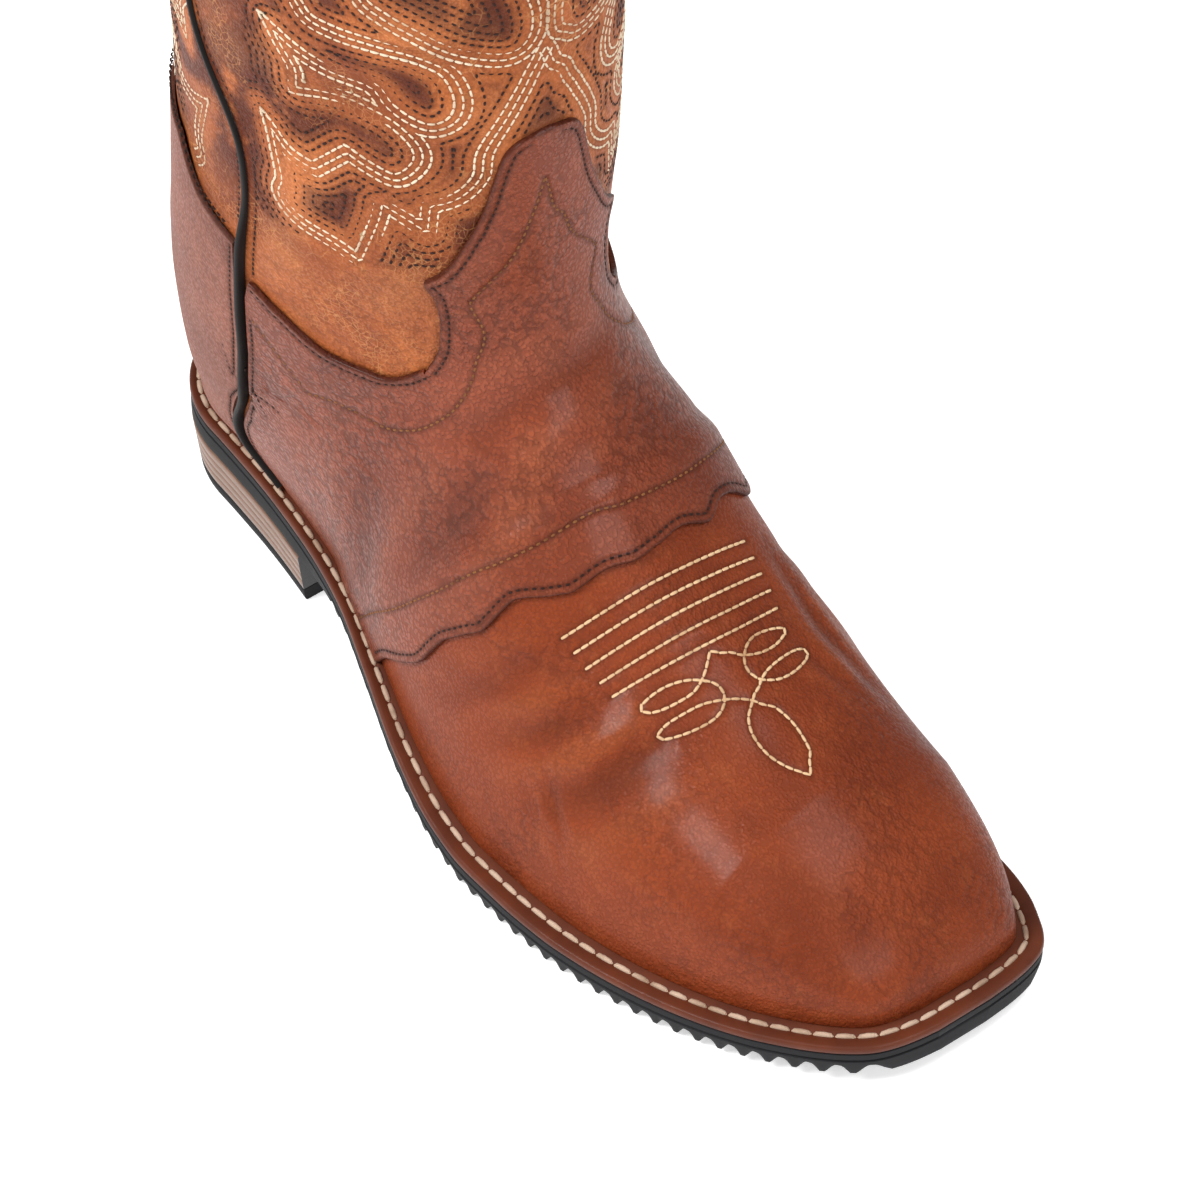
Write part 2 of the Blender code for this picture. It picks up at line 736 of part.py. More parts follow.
def welt(leather, parent):
    """The ring between the sole and the upper."""
    outside = [rim_loop(0.0, welt_foot), rim_loop(0.0, welt_top)]
    inside = [rim_loop(welt_inside, welt_top), rim_loop(welt_inside, welt_foot)]
    return stack("welt", outside + inside, leather, parent, closed=True)


def insole_inset(along):
    return welt_inside(along) + GAP


def insole_top(along):
    return welt_foot(along) + INSOLE


def insole(leather, parent):
    """It closes the welt's ring and lies on the outsole."""
    loops = [rim_loop(insole_inset, welt_foot), rim_loop(insole_inset, insole_top)]
    return stack("insole", loops, leather, parent)


def taper(up):
    return SIDE_STEP + HEEL_TAPER * (1 - up / HEEL_LIFT)


def heel(leather, rubber, parent):
    """The stacked heel and its top lift."""
    block = [heel_loop(taper(up), up) for up in (CAP + GAP, HEEL_LIFT - GAP)]
    stack("heel_block", block, leather, parent)
    lift = [heel_loop(taper(up), up) for up in (0.0, CAP)]
    stack("heel_lift", lift, rubber, parent)


def side_seam(name, mirrored, cord, parent):
    """A rounded strip along a side seam, from the welt to the collar."""
    k = np.concatenate([np.linspace(7.16, 9.4, 8), np.arange(10.0, 13.0, 0.5), np.linspace(13.0, 15.97, 10)])
    v = seam_place(k)
    v = 1 - v if mirrored else v
    centre = surface(k, v)
    normal = outward(k, v)
    run = np.gradient(centre, axis=0)
    run /= np.linalg.norm(run, axis=1, keepdims=True)
    wide = np.cross(run, normal)
    proud = SKIN_GAP + SEAM_PROUD + (OVERLAY + SKIN_GAP) * (1 - soft_step(12.9, 13.6, k))
    half = SEAM_WIDTH / 2
    shape = ((-1.0, 0.0), (-1.0, 0.6), (-0.45, 1.0), (0.45, 1.0), (1.0, 0.6), (1.0, 0.0))
    loops = []
    for i in range(len(k)):
        loop = []
        for across_share, up_share in shape:
            height = SKIN_GAP + (proud[i] - SKIN_GAP) * up_share
            point = centre[i] + wide[i] * across_share * half + normal[i] * height
            point[2] = max(point[2], welt_top(HEEL_MIDDLE - point[1]) + GAP)
            loop.append(tuple(point))
        loops.append(loop)
    return stack(name, loops, cord, parent)


def within(k, v):
    return 0 * k - WALL


def bare(k, v):
    return 0 * k


def near_skin(k, v):
    return SKIN_GAP + 0 * k


def overlay(k, v):
    return SKIN_GAP + OVERLAY + 0 * k


def over_lap(k, v):
    """The saddle's inside, which climbs over the vamp's back edge."""
    end = vamp_back(v)
    return SKIN_GAP + (OVERLAY + SKIN_GAP) * (1 - soft_step(end + 0.25, end + 0.75, k))


def over_all(k, v):
    return over_lap(k, v) + OVERLAY


def toe_front(v):
    return 0 * v


def upper_pieces(leathers, parent):
    """The hollow upper and the leather pieces sewn on it."""
    whole = [np.meshgrid(ROWS, PLACES, indexing="ij")]
    skin_shell("upper", whole, within, bare, leathers["shaft"], parent)
    skin_shell("vamp", [patch(toe_front, vamp_back)], near_skin, overlay, leathers["vamp"], parent)
    skin_shell("saddle", saddle_patches(), over_lap, over_all, leathers["saddle"], parent)
    skin_shell("counter", counter_patches(), near_skin, overlay, leathers["counter"], parent)


def build():
    clear_scene()
    boot = bpy.data.objects.new("western_boot", None)
    bpy.context.scene.collection.objects.link(boot)
    leathers = {
        "shaft": material("shaft_leather", (0.22, 0.075, 0.028), 0.45),
        "vamp": material("vamp_leather", (0.29, 0.075, 0.028), 0.38),
        "saddle": material("saddle_leather", (0.25, 0.062, 0.026), 0.40),
        "counter": material("counter_leather", (0.24, 0.075, 0.042), 0.45),
    }
    rubber = material("black_rubber", (0.022, 0.023, 0.026), 0.60)
    tan = material("heel_leather", (0.36, 0.19, 0.10), 0.55)
    brown = material("welt_leather", (0.13, 0.024, 0.010), 0.45)
    cord = material("black_piping", (0.016, 0.014, 0.013), 0.45)
    lining = material("insole_leather", (0.42, 0.27, 0.15), 0.70)
    outsole(rubber, boot)
    welt(brown, boot)
    insole(lining, boot)
    heel(tan, rubber, boot)
    upper_pieces(leathers, boot)
    side_seam("side_seam_lateral", False, cord, boot)
    side_seam("side_seam_medial", True, cord, boot)


build()
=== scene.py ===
"""The looks of a right western boot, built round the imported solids.

The upper's own surface is worked out from the same sizes and tables as the solids, then drawn finely. A
place on it is a section (0 at the toe's front, then one table row each) and a share across it (0 at the
lateral foot, 0.5 on the ridge, 1 at the medial foot).
"""

import math

import bpy
import numpy as np
from mathutils import Matrix
from mathutils.kdtree import KDTree


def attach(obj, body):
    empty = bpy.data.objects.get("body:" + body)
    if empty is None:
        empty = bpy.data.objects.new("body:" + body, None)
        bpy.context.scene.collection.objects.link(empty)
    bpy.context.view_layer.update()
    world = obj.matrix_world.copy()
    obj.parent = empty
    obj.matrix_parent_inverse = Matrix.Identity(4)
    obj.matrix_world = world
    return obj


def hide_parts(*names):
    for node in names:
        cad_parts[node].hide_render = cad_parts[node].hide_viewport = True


# Driving sizes
LENGTH = 0.306
BALL = 0.112
HEIGHT = 0.300
HEEL_MIDDLE = 0.038
HEEL_LIFT = 0.0178
HEEL_LENGTH = 0.077
TOE_SPRING = 0.0053
HEEL_ROUND = 0.032

# Thicknesses and clearances
GAP = 0.0003
SKIN_GAP = 0.0004
WALL = 0.0022
OVERLAY = 0.0014
WELT = 0.0025
OUTSOLE = 0.0082
CAP = 0.0043
SEAM_WIDTH = 0.0026
SEAM_PROUD = 0.0011

# The sole's side
LUG_PITCH = 0.0058
LUG_DEPTH = 0.0040
LUG_FLAT = 0.0011
SHANK_PLAIN = 0.0172
TOE_PLAIN = 0.0025
LUG_FIRST = HEEL_LENGTH + SHANK_PLAIN
LUG_LAST = LENGTH - TOE_PLAIN
SIDE_STEP = 0.0002
LUG_UNDERCUT = 0.0010
HEEL_TAPER = 0.0022

# The welt shows this much outside the upper's foot
FEATHER = 0.0042
FEATHER_TOE = 0.0074

# The ramp from the heel's seat to the tread, as shares of the length
RAMP_START = 0.31
RAMP_END = 0.62
SPRING_START = 0.72

# How the toe box drops and how full its front is
TOE_DROP = 0.016
TOE_FULL = 2.5

# Lengths below this count as nothing
TINY = 1e-15

# The sections over which the foot turns up into the back seam
HEEL_TURN = 0.35

# The collar rises at the sides over this last part of the shaft
COLLAR_RISE = 0.024
COLLAR_REACH = 0.20

# The welt's edge: shares of the length, then of the ball's width on each side of the axis
OUTLINE_COLUMNS = ("along", "lateral", "medial")
OUTLINE = (
    (0.000, 0.286, 0.281),
    (0.082, 0.288, 0.286),
    (0.163, 0.303, 0.286),
    (0.261, 0.342, 0.263),
    (0.340, 0.396, 0.241),
    (0.408, 0.461, 0.237),
    (0.490, 0.536, 0.277),
    (0.556, 0.576, 0.335),
    (0.605, 0.588, 0.375),
    (0.654, 0.587, 0.406),
    (0.703, 0.578, 0.420),
    (0.752, 0.555, 0.420),
    (0.801, 0.520, 0.413),
    (0.850, 0.473, 0.402),
    (0.899, 0.410, 0.387),
    (0.931, 0.355, 0.366),
    (0.954, 0.308, 0.339),
    (0.974, 0.256, 0.308),
    (0.986, 0.212, 0.275),
    (0.993, 0.165, 0.228),
    (0.9975, 0.112, 0.165),
    (1.000, 0.060, 0.090),
)

# One row for each section of the upper. base and along are shares of the length, rise and up of the
# height, lateral, medial, ridge and seam of the ball's width. Up to the heel's back the base follows the
# welt; past it the base climbs the back seam.
SECTION_COLUMNS = ("base", "rise", "along", "up", "lateral", "medial", "fullness", "ridge", "seam", "strips")
SECTIONS = (
    (0.850, 0.000, 0.828, 0.178, 0.354, 0.362, 2.6, 0.009, 0.0, 2),
    (0.760, 0.000, 0.755, 0.202, 0.370, 0.393, 2.4, 0.000, 0.0, 2),
    (0.665, 0.000, 0.662, 0.243, 0.361, 0.424, 2.3, -0.014, 0.0, 2),
    (0.560, 0.000, 0.602, 0.290, 0.340, 0.430, 2.1, -0.031, 0.0, 3),
    (0.440, 0.000, 0.560, 0.334, 0.325, 0.426, 1.9, -0.040, 0.0, 3),
    (0.320, 0.000, 0.529, 0.372, 0.318, 0.410, 1.65, -0.044, 0.0, 3),
    (0.200, 0.000, 0.506, 0.405, 0.329, 0.402, 1.4, -0.045, 0.0, 2),
    (0.100, 0.000, 0.491, 0.432, 0.347, 0.400, 1.2, -0.044, 0.0, 2),
    (0.035, 0.000, 0.484, 0.452, 0.362, 0.402, 1.05, -0.043, 0.0, 3),
    (0.000, 0.000, 0.480, 0.466, 0.376, 0.405, 1.0, -0.042, 0.0, 1),
    (0.000, 0.060, 0.477, 0.488, 0.392, 0.408, 1.0, -0.042, -0.009, 1),
    (0.000, 0.170, 0.474, 0.527, 0.415, 0.425, 1.0, -0.042, -0.018, 1),
    (0.000, 0.290, 0.475, 0.584, 0.435, 0.447, 1.0, -0.042, -0.032, 1),
    (0.000, 0.430, 0.477, 0.665, 0.445, 0.455, 1.0, -0.042, -0.042, 2),
    (0.000, 0.640, 0.484, 0.800, 0.455, 0.457, 1.0, -0.042, -0.042, 2),
    (0.000, 0.904, 0.494, 1.000, 0.457, 0.457, 1.0, -0.042, -0.042, 1),
)

FLOWING_COLUMNS = ("along", "up", "lateral", "medial", "fullness", "ridge", "seam")

# The back seam from the feather line up: rise in shares of the height, lean in shares of the length
BACK_COLUMNS = ("rise", "lean")
BACK = (
    (0.000, 0.000),
    (0.050, -0.009),
    (0.130, -0.010),
    (0.210, -0.002),
    (0.300, 0.014),
    (0.430, 0.026),
    (0.640, 0.020),
    (0.910, 0.004),
)


def named(rows, columns):
    """A table's columns by name."""
    return {name: np.array([row[i] for row in rows]) for i, name in enumerate(columns)}


def smooth(x, y, at):
    """A curve through the points that never overshoots them."""
    x, y, at = np.asarray(x, float), np.asarray(y, float), np.asarray(at, float)
    step = np.diff(x)
    rise = np.diff(y) / step
    slope = np.zeros(len(x))
    slope[0], slope[-1] = rise[0], rise[-1]
    one_way = np.flatnonzero(rise[:-1] * rise[1:] > 0)
    near = 2 * step[1:] + step[:-1]
    far = step[1:] + 2 * step[:-1]
    for j in one_way:
        slope[j + 1] = (near[j] + far[j]) / (near[j] / rise[j] + far[j] / rise[j + 1])
    i = np.clip(np.searchsorted(x, at, side="right") - 1, 0, len(x) - 2)
    s = (at - x[i]) / step[i]
    start = y[i] * (1 + 2 * s) + slope[i] * step[i] * s
    end = y[i + 1] * (3 - 2 * s) + slope[i + 1] * step[i] * (s - 1)
    return start * (1 - s) ** 2 + end * s**2


def flowing(values, at):
    """A curve through evenly spaced values, smooth also at its turns."""
    values, at = np.asarray(values, float), np.asarray(at, float)
    slope = np.gradient(values)
    i = np.clip(np.floor(at).astype(int), 0, len(values) - 2)
    s = at - i
    start = values[i] * (1 + 2 * s) + slope[i] * s
    end = values[i + 1] * (3 - 2 * s) + slope[i + 1] * (s - 1)
    return start * (1 - s) ** 2 + end * s**2


def soft_step(low, high, at):
    s = np.clip((np.asarray(at, float) - low) / (high - low), 0, 1)
    return s * s * (3 - 2 * s)


EDGE = named(OUTLINE, OUTLINE_COLUMNS)
SECTION = named(SECTIONS, SECTION_COLUMNS)
SEAM_BACK = named(BACK, BACK_COLUMNS)
LAST_SECTION = len(SECTIONS)
HEEL_SECTION = 1 + int(np.flatnonzero(SECTION["rise"] == 0)[-1])


def welt_top(along):
    """Height of the welt's upper face."""
    share = np.asarray(along, float) / LENGTH
    ramp = soft_step(RAMP_START, RAMP_END, share)
    toe = np.clip((share - SPRING_START) / (1 - SPRING_START), 0, 1)
    return OUTSOLE + GAP + WELT + HEEL_LIFT * (1 - ramp) + TOE_SPRING * toe**2


def edge(side, along):
    """Distance of the welt's edge from the axis."""
    width = smooth(EDGE["along"] * LENGTH, EDGE[side] * BALL, along)
    near = np.clip(1 - along / HEEL_ROUND, 0, 1)
    return width * np.sqrt(1 - near**2)


def feather(along):
    """Width of welt that shows outside the upper."""
    return FEATHER + (FEATHER_TOE - FEATHER) * soft_step(0.25, 0.70, along / LENGTH)


def inner_edge(side, inset):
    """The edge moved inwards, by a number or a function of `along`, as two lists: along and width."""
    turn = np.linspace(0, math.pi, 500)
    along = LENGTH * (1 - np.cos(turn)) / 2
    width = edge(side, along)
    ahead, out = np.gradient(along), np.gradient(width)
    size = np.hypot(ahead, out)
    depth = inset(along) if callable(inset) else inset + 0 * along
    moved = along + depth * out / size
    narrow = width - depth * ahead / size
    inside = (moved >= depth[0]) & (moved <= LENGTH - depth[-1])
    moved, narrow = moved[inside], narrow[inside]
    forward = np.concatenate([[True], np.diff(np.maximum.accumulate(moved)) > 0])
    return moved[forward], np.maximum(narrow[forward], 0)


def upper_inset(along):
    return feather(along) + OVERLAY + SKIN_GAP


FOOT = {side: inner_edge(side, upper_inset) for side in ("lateral", "medial")}
FOOT_BACK = float(upper_inset(0.0))
FOOT_FRONT = LENGTH - float(upper_inset(LENGTH))


def section(k):
    """What shapes the section at place k: 0 is the toe's front, 1 the toe box's end, then the rows."""
    k = np.asarray(k, float)
    row = np.maximum(k - 1, 0)
    index = np.arange(LAST_SECTION)
    found = {name: flowing(SECTION[name], row) for name in FLOWING_COLUMNS}
    base = FOOT_BACK + smooth(index, SECTION["base"], row) * (FOOT_FRONT - FOOT_BACK)
    rise = smooth(index, SECTION["rise"], row)
    toe = k < 1
    turn = np.cos(np.clip(k, 0, 1) * math.pi / 2)
    toe_start = FOOT_BACK + SECTION["base"][0] * (FOOT_FRONT - FOOT_BACK)
    base = np.where(toe, toe_start + (FOOT_FRONT - toe_start) * turn, base)
    lean = smooth(SEAM_BACK["rise"], SEAM_BACK["lean"], rise) * LENGTH
    foot = rise <= 0
    base_along = np.where(foot, base, FOOT_BACK + lean)
    base_up = welt_top(base_along) + GAP + rise * HEIGHT
    top_along = np.where(toe, base, found["along"] * LENGTH)
    round_off = (1 - turn**TOE_FULL) ** (1 / TOE_FULL)
    toe_up = base_up + (found["up"] * HEIGHT - TOE_DROP * turn - base_up) * round_off
    top_up = np.where(toe, toe_up, found["up"] * HEIGHT)
    lateral = np.interp(base_along, *FOOT["lateral"])
    medial = np.interp(base_along, *FOOT["medial"])
    half = np.where(foot, (lateral + medial) / 2, 0)
    toe_half = (np.interp(toe_start, *FOOT["lateral"]) + np.interp(toe_start, *FOOT["medial"])) / 2
    shrink = np.where(toe, half / toe_half, 1)
    return {
        "base_along": base_along,
        "base_up": base_up,
        "top_along": top_along,
        "top_up": top_up,
        "half": half,
        "lateral": found["lateral"] * BALL * shrink,
        "medial": found["medial"] * BALL * shrink,
        "fullness": found["fullness"],
        "middle": np.where(foot, (medial - lateral) / 2, found["seam"] * BALL),
        "ridge": found["ridge"] * BALL,
        "foot": foot,
        "lift": COLLAR_RISE * soft_step(1 - COLLAR_REACH, 1, found["up"]),
    }


def across(shape, s, side):
    """The point at share s of the way from the base to the ridge, on one side."""
    mid = np.where(side < 0, shape["lateral"], shape["medial"])
    full = 1 - s ** shape["fullness"]
    middle_full = 1 - 0.5 ** shape["fullness"]
    swell = 2 * (mid**2 / middle_full - shape["half"] ** 2)
    width = np.sqrt(np.maximum(full * (shape["half"] ** 2 + swell * s), 0))
    x = shape["middle"] * (1 - s) + shape["ridge"] * s + side * width
    along = shape["base_along"] * (1 - s) + shape["top_along"] * s
    up = shape["base_up"] * (1 - s) + shape["top_up"] * s + shape["lift"] * (4 * s * (1 - s)) ** 2
    return np.stack([x, HEEL_MIDDLE - along, up], -1)


def surface(k, v):
    """Points of the upper's outside, v from the lateral foot (0) over the ridge (0.5) to the medial (1)."""
    k, v = np.broadcast_arrays(np.asarray(k, float), np.asarray(v, float))
    flat_k, flat_v = k.ravel(), v.ravel()
    shape = section(flat_k)
    side = np.where(flat_v <= 0.5, -1.0, 1.0)
    share = 1 - np.abs(2 * flat_v - 1)
    dense = (1 - np.cos(np.linspace(0, math.pi, 49))) / 2
    wide = {name: value[:, None] for name, value in shape.items()}
    path = across(wide, dense[None, :], side[:, None])
    steps = np.linalg.norm(np.diff(path, axis=1), axis=2)
    length = np.concatenate([np.zeros((len(flat_k), 1)), np.cumsum(steps, axis=1)], 1)
    goal = share * length[:, -1]
    i = np.clip((length <= goal[:, None]).sum(1) - 1, 0, len(dense) - 2)
    row = np.arange(len(flat_k))
    part = (goal - length[row, i]) / np.maximum(length[row, i + 1] - length[row, i], TINY)
    s = dense[i] + (dense[i + 1] - dense[i]) * np.clip(part, 0, 1)
    points = across(shape, s, side)
    straight = shape["middle"] + (2 * flat_v - 1) * shape["half"]
    points[:, 0] = np.where(flat_k <= 0, straight, points[:, 0])
    return points.reshape(k.shape + (3,))


# The lateral side seam up from the welt, and the medial one mirrored
SEAM_COLUMNS = ("section", "place")
SEAM = (
    (6.95, 0.000),
    (7.12, 0.014),
    (7.35, 0.030),
    (7.70, 0.054),
    (8.40, 0.112),
    (9.43, 0.190),
    (9.75, 0.206),
    (10.00, 0.217),
    (10.50, 0.2285),
    (11.56, 0.247),
    (12.80, 0.255),
    (13.60, 0.259),
    (14.03, 0.256),
    (14.30, 0.241),
    (14.60, 0.210),
    (14.80, 0.199),
    (15.30, 0.190),
    (16.00, 0.188),
)

# The saddle's scalloped front edge from the lateral to the medial foot
SCALLOP_COLUMNS = ("place", "section")
SCALLOP = (
    (0.000, 5.22),
    (0.040, 5.18),
    (0.094, 5.00),
    (0.135, 4.88),
    (0.190, 4.85),
    (0.232, 4.72),
    (0.265, 4.60),
    (0.313, 4.61),
    (0.362, 4.33),
    (0.390, 4.18),
    (0.430, 4.15),
    (0.475, 4.01),
    (0.505, 4.04),
    (0.542, 4.11),
    (0.582, 4.02),
    (0.617, 4.27),
    (0.640, 4.31),
    (0.680, 4.27),
    (0.730, 4.55),
    (0.780, 4.56),
    (0.820, 4.80),
    (0.880, 4.88),
    (0.940, 5.10),
    (1.000, 5.22),
)

# The vamp's back edge, hidden under the saddle
LAP_COLUMNS = ("place", "section")
LAP = (
    (0.00, 5.50),
    (0.12, 5.32),
    (0.25, 5.10),
    (0.50, 4.66),
    (0.75, 5.06),
    (0.88, 5.30),
    (1.00, 5.50),
)

# The saddle's upper edge beside the tongue, out to the side seams
SHOULDER_COLUMNS = ("away", "section")
SHOULDER = (
    (0.079, 10.22),
    (0.099, 10.07),
    (0.127, 10.67),
    (0.160, 11.29),
    (0.197, 11.96),
    (0.232, 12.40),
    (0.500, 12.50),
)

# The middle of the saddle's tongue, and the section where it leaves the instep
TONGUE_MIDDLE = 0.489
TONGUE_FOOT = 10.0

# The counter's upper edge, from the side seam back to the back seam
COUNTER_COLUMNS = ("section", "away")
COUNTER = (
    (12.95, 0.247),
    (13.30, 0.200),
    (13.75, 0.160),
    (13.90, 0.100),
    (13.98, 0.000),
)
SEAM_ROOM = SEAM_WIDTH / 2 + 2 * SKIN_GAP

SEAM_LINE = named(SEAM, SEAM_COLUMNS)
SCALLOP_LINE = named(SCALLOP, SCALLOP_COLUMNS)
LAP_LINE = named(LAP, LAP_COLUMNS)
SHOULDER_LINE = named(SHOULDER, SHOULDER_COLUMNS)
COUNTER_LINE = named(COUNTER, COUNTER_COLUMNS)

# How the scene is drawn
LEATHER_MESH = 0.00125
SHAFT_MESH = 0.00115
EDGE_ANGLE = 50
WELD = 5e4
LIP_MARKS = (0.0, 0.00012, 0.0003, 0.0006, 0.0010)
LIP_ROUND = 0.0007
LIP_FLOOR = 0.45
GROOVE = 0.00024
GROOVE_WIDTH = 0.0007
ROW_SHADE = 0.0008
CORD_SHARE = 0.33
TOE_SAG = 0.12
SHAFT_START = 9.9

# The section where the saddle's tongue ends
TONGUE_TIP = 14.30

# The tongue's half width up the shaft
TONGUE_HALF_COLUMNS = ("section", "half")
TONGUE_HALF = (
    (10.00, 0.079),
    (10.20, 0.077),
    (10.60, 0.070),
    (11.00, 0.066),
    (11.60, 0.065),
    (12.20, 0.069),
    (12.58, 0.077),
    (12.66, 0.068),
    (12.80, 0.061),
    (13.00, 0.055),
    (13.46, 0.043),
    (13.92, 0.035),
    (14.16, 0.029),
    (14.27, 0.018),
    (TONGUE_TIP, 0.004),
)
TONGUE_SHAPE = named(TONGUE_HALF, TONGUE_HALF_COLUMNS)

# The second stitch row behind the scallop
SCALLOP_ECHO_COLUMNS = ("place", "section")
SCALLOP_ECHO = (
    (0.000, 5.61),
    (0.078, 5.54),
    (0.143, 5.42),
    (0.189, 5.35),
    (0.235, 5.27),
    (0.303, 5.16),
    (0.332, 5.08),
    (0.394, 4.96),
    (0.452, 4.92),
    (0.492, 4.78),
    (0.553, 4.74),
    (0.640, 4.90),
    (0.720, 5.12),
    (0.800, 5.27),
    (0.880, 5.44),
    (1.000, 5.61),
)

# The inner echo of the saddle's shoulder and tongue, from the side seam to the tongue's tip: section, place
SHOULDER_ECHO = (
    (11.77, 0.262),
    (11.34, 0.280),
    (10.50, 0.300),
    (9.30, 0.310),
    (8.10, 0.326),
    (7.73, 0.348),
    (7.68, 0.374),
    (7.95, 0.407),
    (8.73, 0.431),
    (10.41, 0.450),
    (11.20, 0.452),
    (11.90, 0.444),
    (12.12, 0.447),
    (12.67, 0.467),
    (13.24, 0.479),
    (13.80, 0.489),
)

# The band of three cream rows on the shaft, from the front's middle to the collar: share away from the
# middle, height in shares of the boot's, and 1 at a corner.
BAND = (
    (0.000, 0.790, 1),
    (0.013, 0.758, 0),
    (0.027, 0.725, 0),
    (0.041, 0.686, 0),
    (0.043, 0.658, 0),
    (0.052, 0.638, 0),
    (0.065, 0.625, 0),
    (0.077, 0.620, 1),
    (0.078, 0.588, 1),
    (0.096, 0.603, 0),
    (0.111, 0.615, 1),
    (0.114, 0.590, 0),
    (0.125, 0.538, 1),
    (0.150, 0.550, 0),
    (0.175, 0.563, 0),
    (0.194, 0.583, 0),
    (0.190, 0.607, 0),
    (0.202, 0.652, 1),
    (0.186, 0.642, 0),
    (0.161, 0.636, 1),
    (0.137, 0.667, 1),
    (0.119, 0.656, 0),
    (0.101, 0.648, 0),
    (0.088, 0.662, 0),
    (0.083, 0.680, 0),
    (0.089, 0.700, 0),
    (0.106, 0.718, 0),
    (0.133, 0.725, 0),
    (0.157, 0.724, 0),
    (0.177, 0.718, 1),
    (0.177, 0.744, 0),
    (0.194, 0.772, 1),
    (0.172, 0.762, 0),
    (0.150, 0.752, 0),
    (0.121, 0.746, 0),
    (0.110, 0.731, 0),
    (0.093, 0.718, 0),
    (0.076, 0.713, 0),
    (0.061, 0.726, 0),
    (0.057, 0.750, 0),
    (0.066, 0.777, 0),
    (0.081, 0.790, 0),
    (0.097, 0.797, 0),
    (0.121, 0.800, 0),
    (0.146, 0.800, 0),
    (0.166, 0.804, 0),
    (0.178, 0.822, 1),
    (0.196, 0.836, 1),
    (0.178, 0.848, 0),
    (0.160, 0.872, 0),
    (0.146, 0.908, 0),
    (0.140, 0.950, 0),
    (0.138, 0.985, 0),
)

# The second band, a hanging loop above the first, with the same columns
LOOP = (
    (0.122, 0.975, 0),
    (0.124, 0.930, 0),
    (0.129, 0.880, 0),
    (0.126, 0.846, 0),
    (0.110, 0.833, 0),
    (0.089, 0.820, 0),
    (0.068, 0.803, 0),
    (0.047, 0.793, 0),
    (0.026, 0.788, 0),
    (0.012, 0.797, 0),
    (0.006, 0.820, 0),
    (0.009, 0.850, 0),
    (0.024, 0.900, 0),
    (0.034, 0.945, 0),
    (0.036, 0.985, 0),
)
BAND_SPACING = 0.0022
BACK_DROP = 0.050

# The toe's five rows: section and place at the lateral end, then at the medial one
TOE_ROWS = (
    (3.90, 0.335, 3.68, 0.631),
    (3.68, 0.335, 3.46, 0.631),
    (3.46, 0.333, 3.26, 0.629),
    (3.24, 0.334, 3.06, 0.628),
    (3.05, 0.333, 2.87, 0.621),
)
# The toe's running loop: section, place, and 1 at a corner
TOE_LOOP = (
    (2.77, 0.482, 1),
    (2.70, 0.498, 0),
    (2.61, 0.517, 0),
    (2.56, 0.547, 0),
    (2.57, 0.578, 0),
    (2.63, 0.604, 0),
    (2.67, 0.610, 0),
    (2.70, 0.593, 0),
    (2.71, 0.557, 0),
    (2.66, 0.533, 0),
    (2.58, 0.517, 0),
    (2.48, 0.506, 0),
    (2.37, 0.517, 0),
    (2.30, 0.546, 0),
    (2.31, 0.581, 0),
    (2.37, 0.612, 0),
    (2.43, 0.624, 0),
    (2.47, 0.615, 0),
    (2.46, 0.583, 0),
    (2.42, 0.544, 0),
    (2.37, 0.519, 0),
    (2.29, 0.496, 0),
    (2.18, 0.468, 0),
    (2.11, 0.457, 0),
    (1.99, 0.449, 0),
    (1.78, 0.446, 0),
    (1.54, 0.454, 0),
    (1.27, 0.477, 1),
    (1.43, 0.497, 0),
    (1.66, 0.508, 0),
    (1.87, 0.514, 0),
    (2.05, 0.507, 0),
    (2.18, 0.497, 0),
    (2.27, 0.483, 0),
    (2.34, 0.466, 0),
    (2.40, 0.446, 0),
    (2.46, 0.421, 0),
    (2.50, 0.390, 0),
    (2.53, 0.360, 0),
    (2.52, 0.341, 1),
    (2.46, 0.345, 0),
    (2.38, 0.369, 0),
    (2.32, 0.401, 0),
    (2.31, 0.427, 0),
    (2.36, 0.448, 0),
    (2.44, 0.458, 0),
    (2.53, 0.457, 0),
    (2.61, 0.445, 0),
    (2.69, 0.427, 0),
    (2.76, 0.399, 0),
    (2.79, 0.368, 0),
    (2.78, 0.351, 1),
    (2.71, 0.354, 0),
    (2.64, 0.372, 0),
    (2.59, 0.403, 0),
    (2.58, 0.426, 0),
    (2.64, 0.453, 0),
    (2.77, 0.482, 1),
)

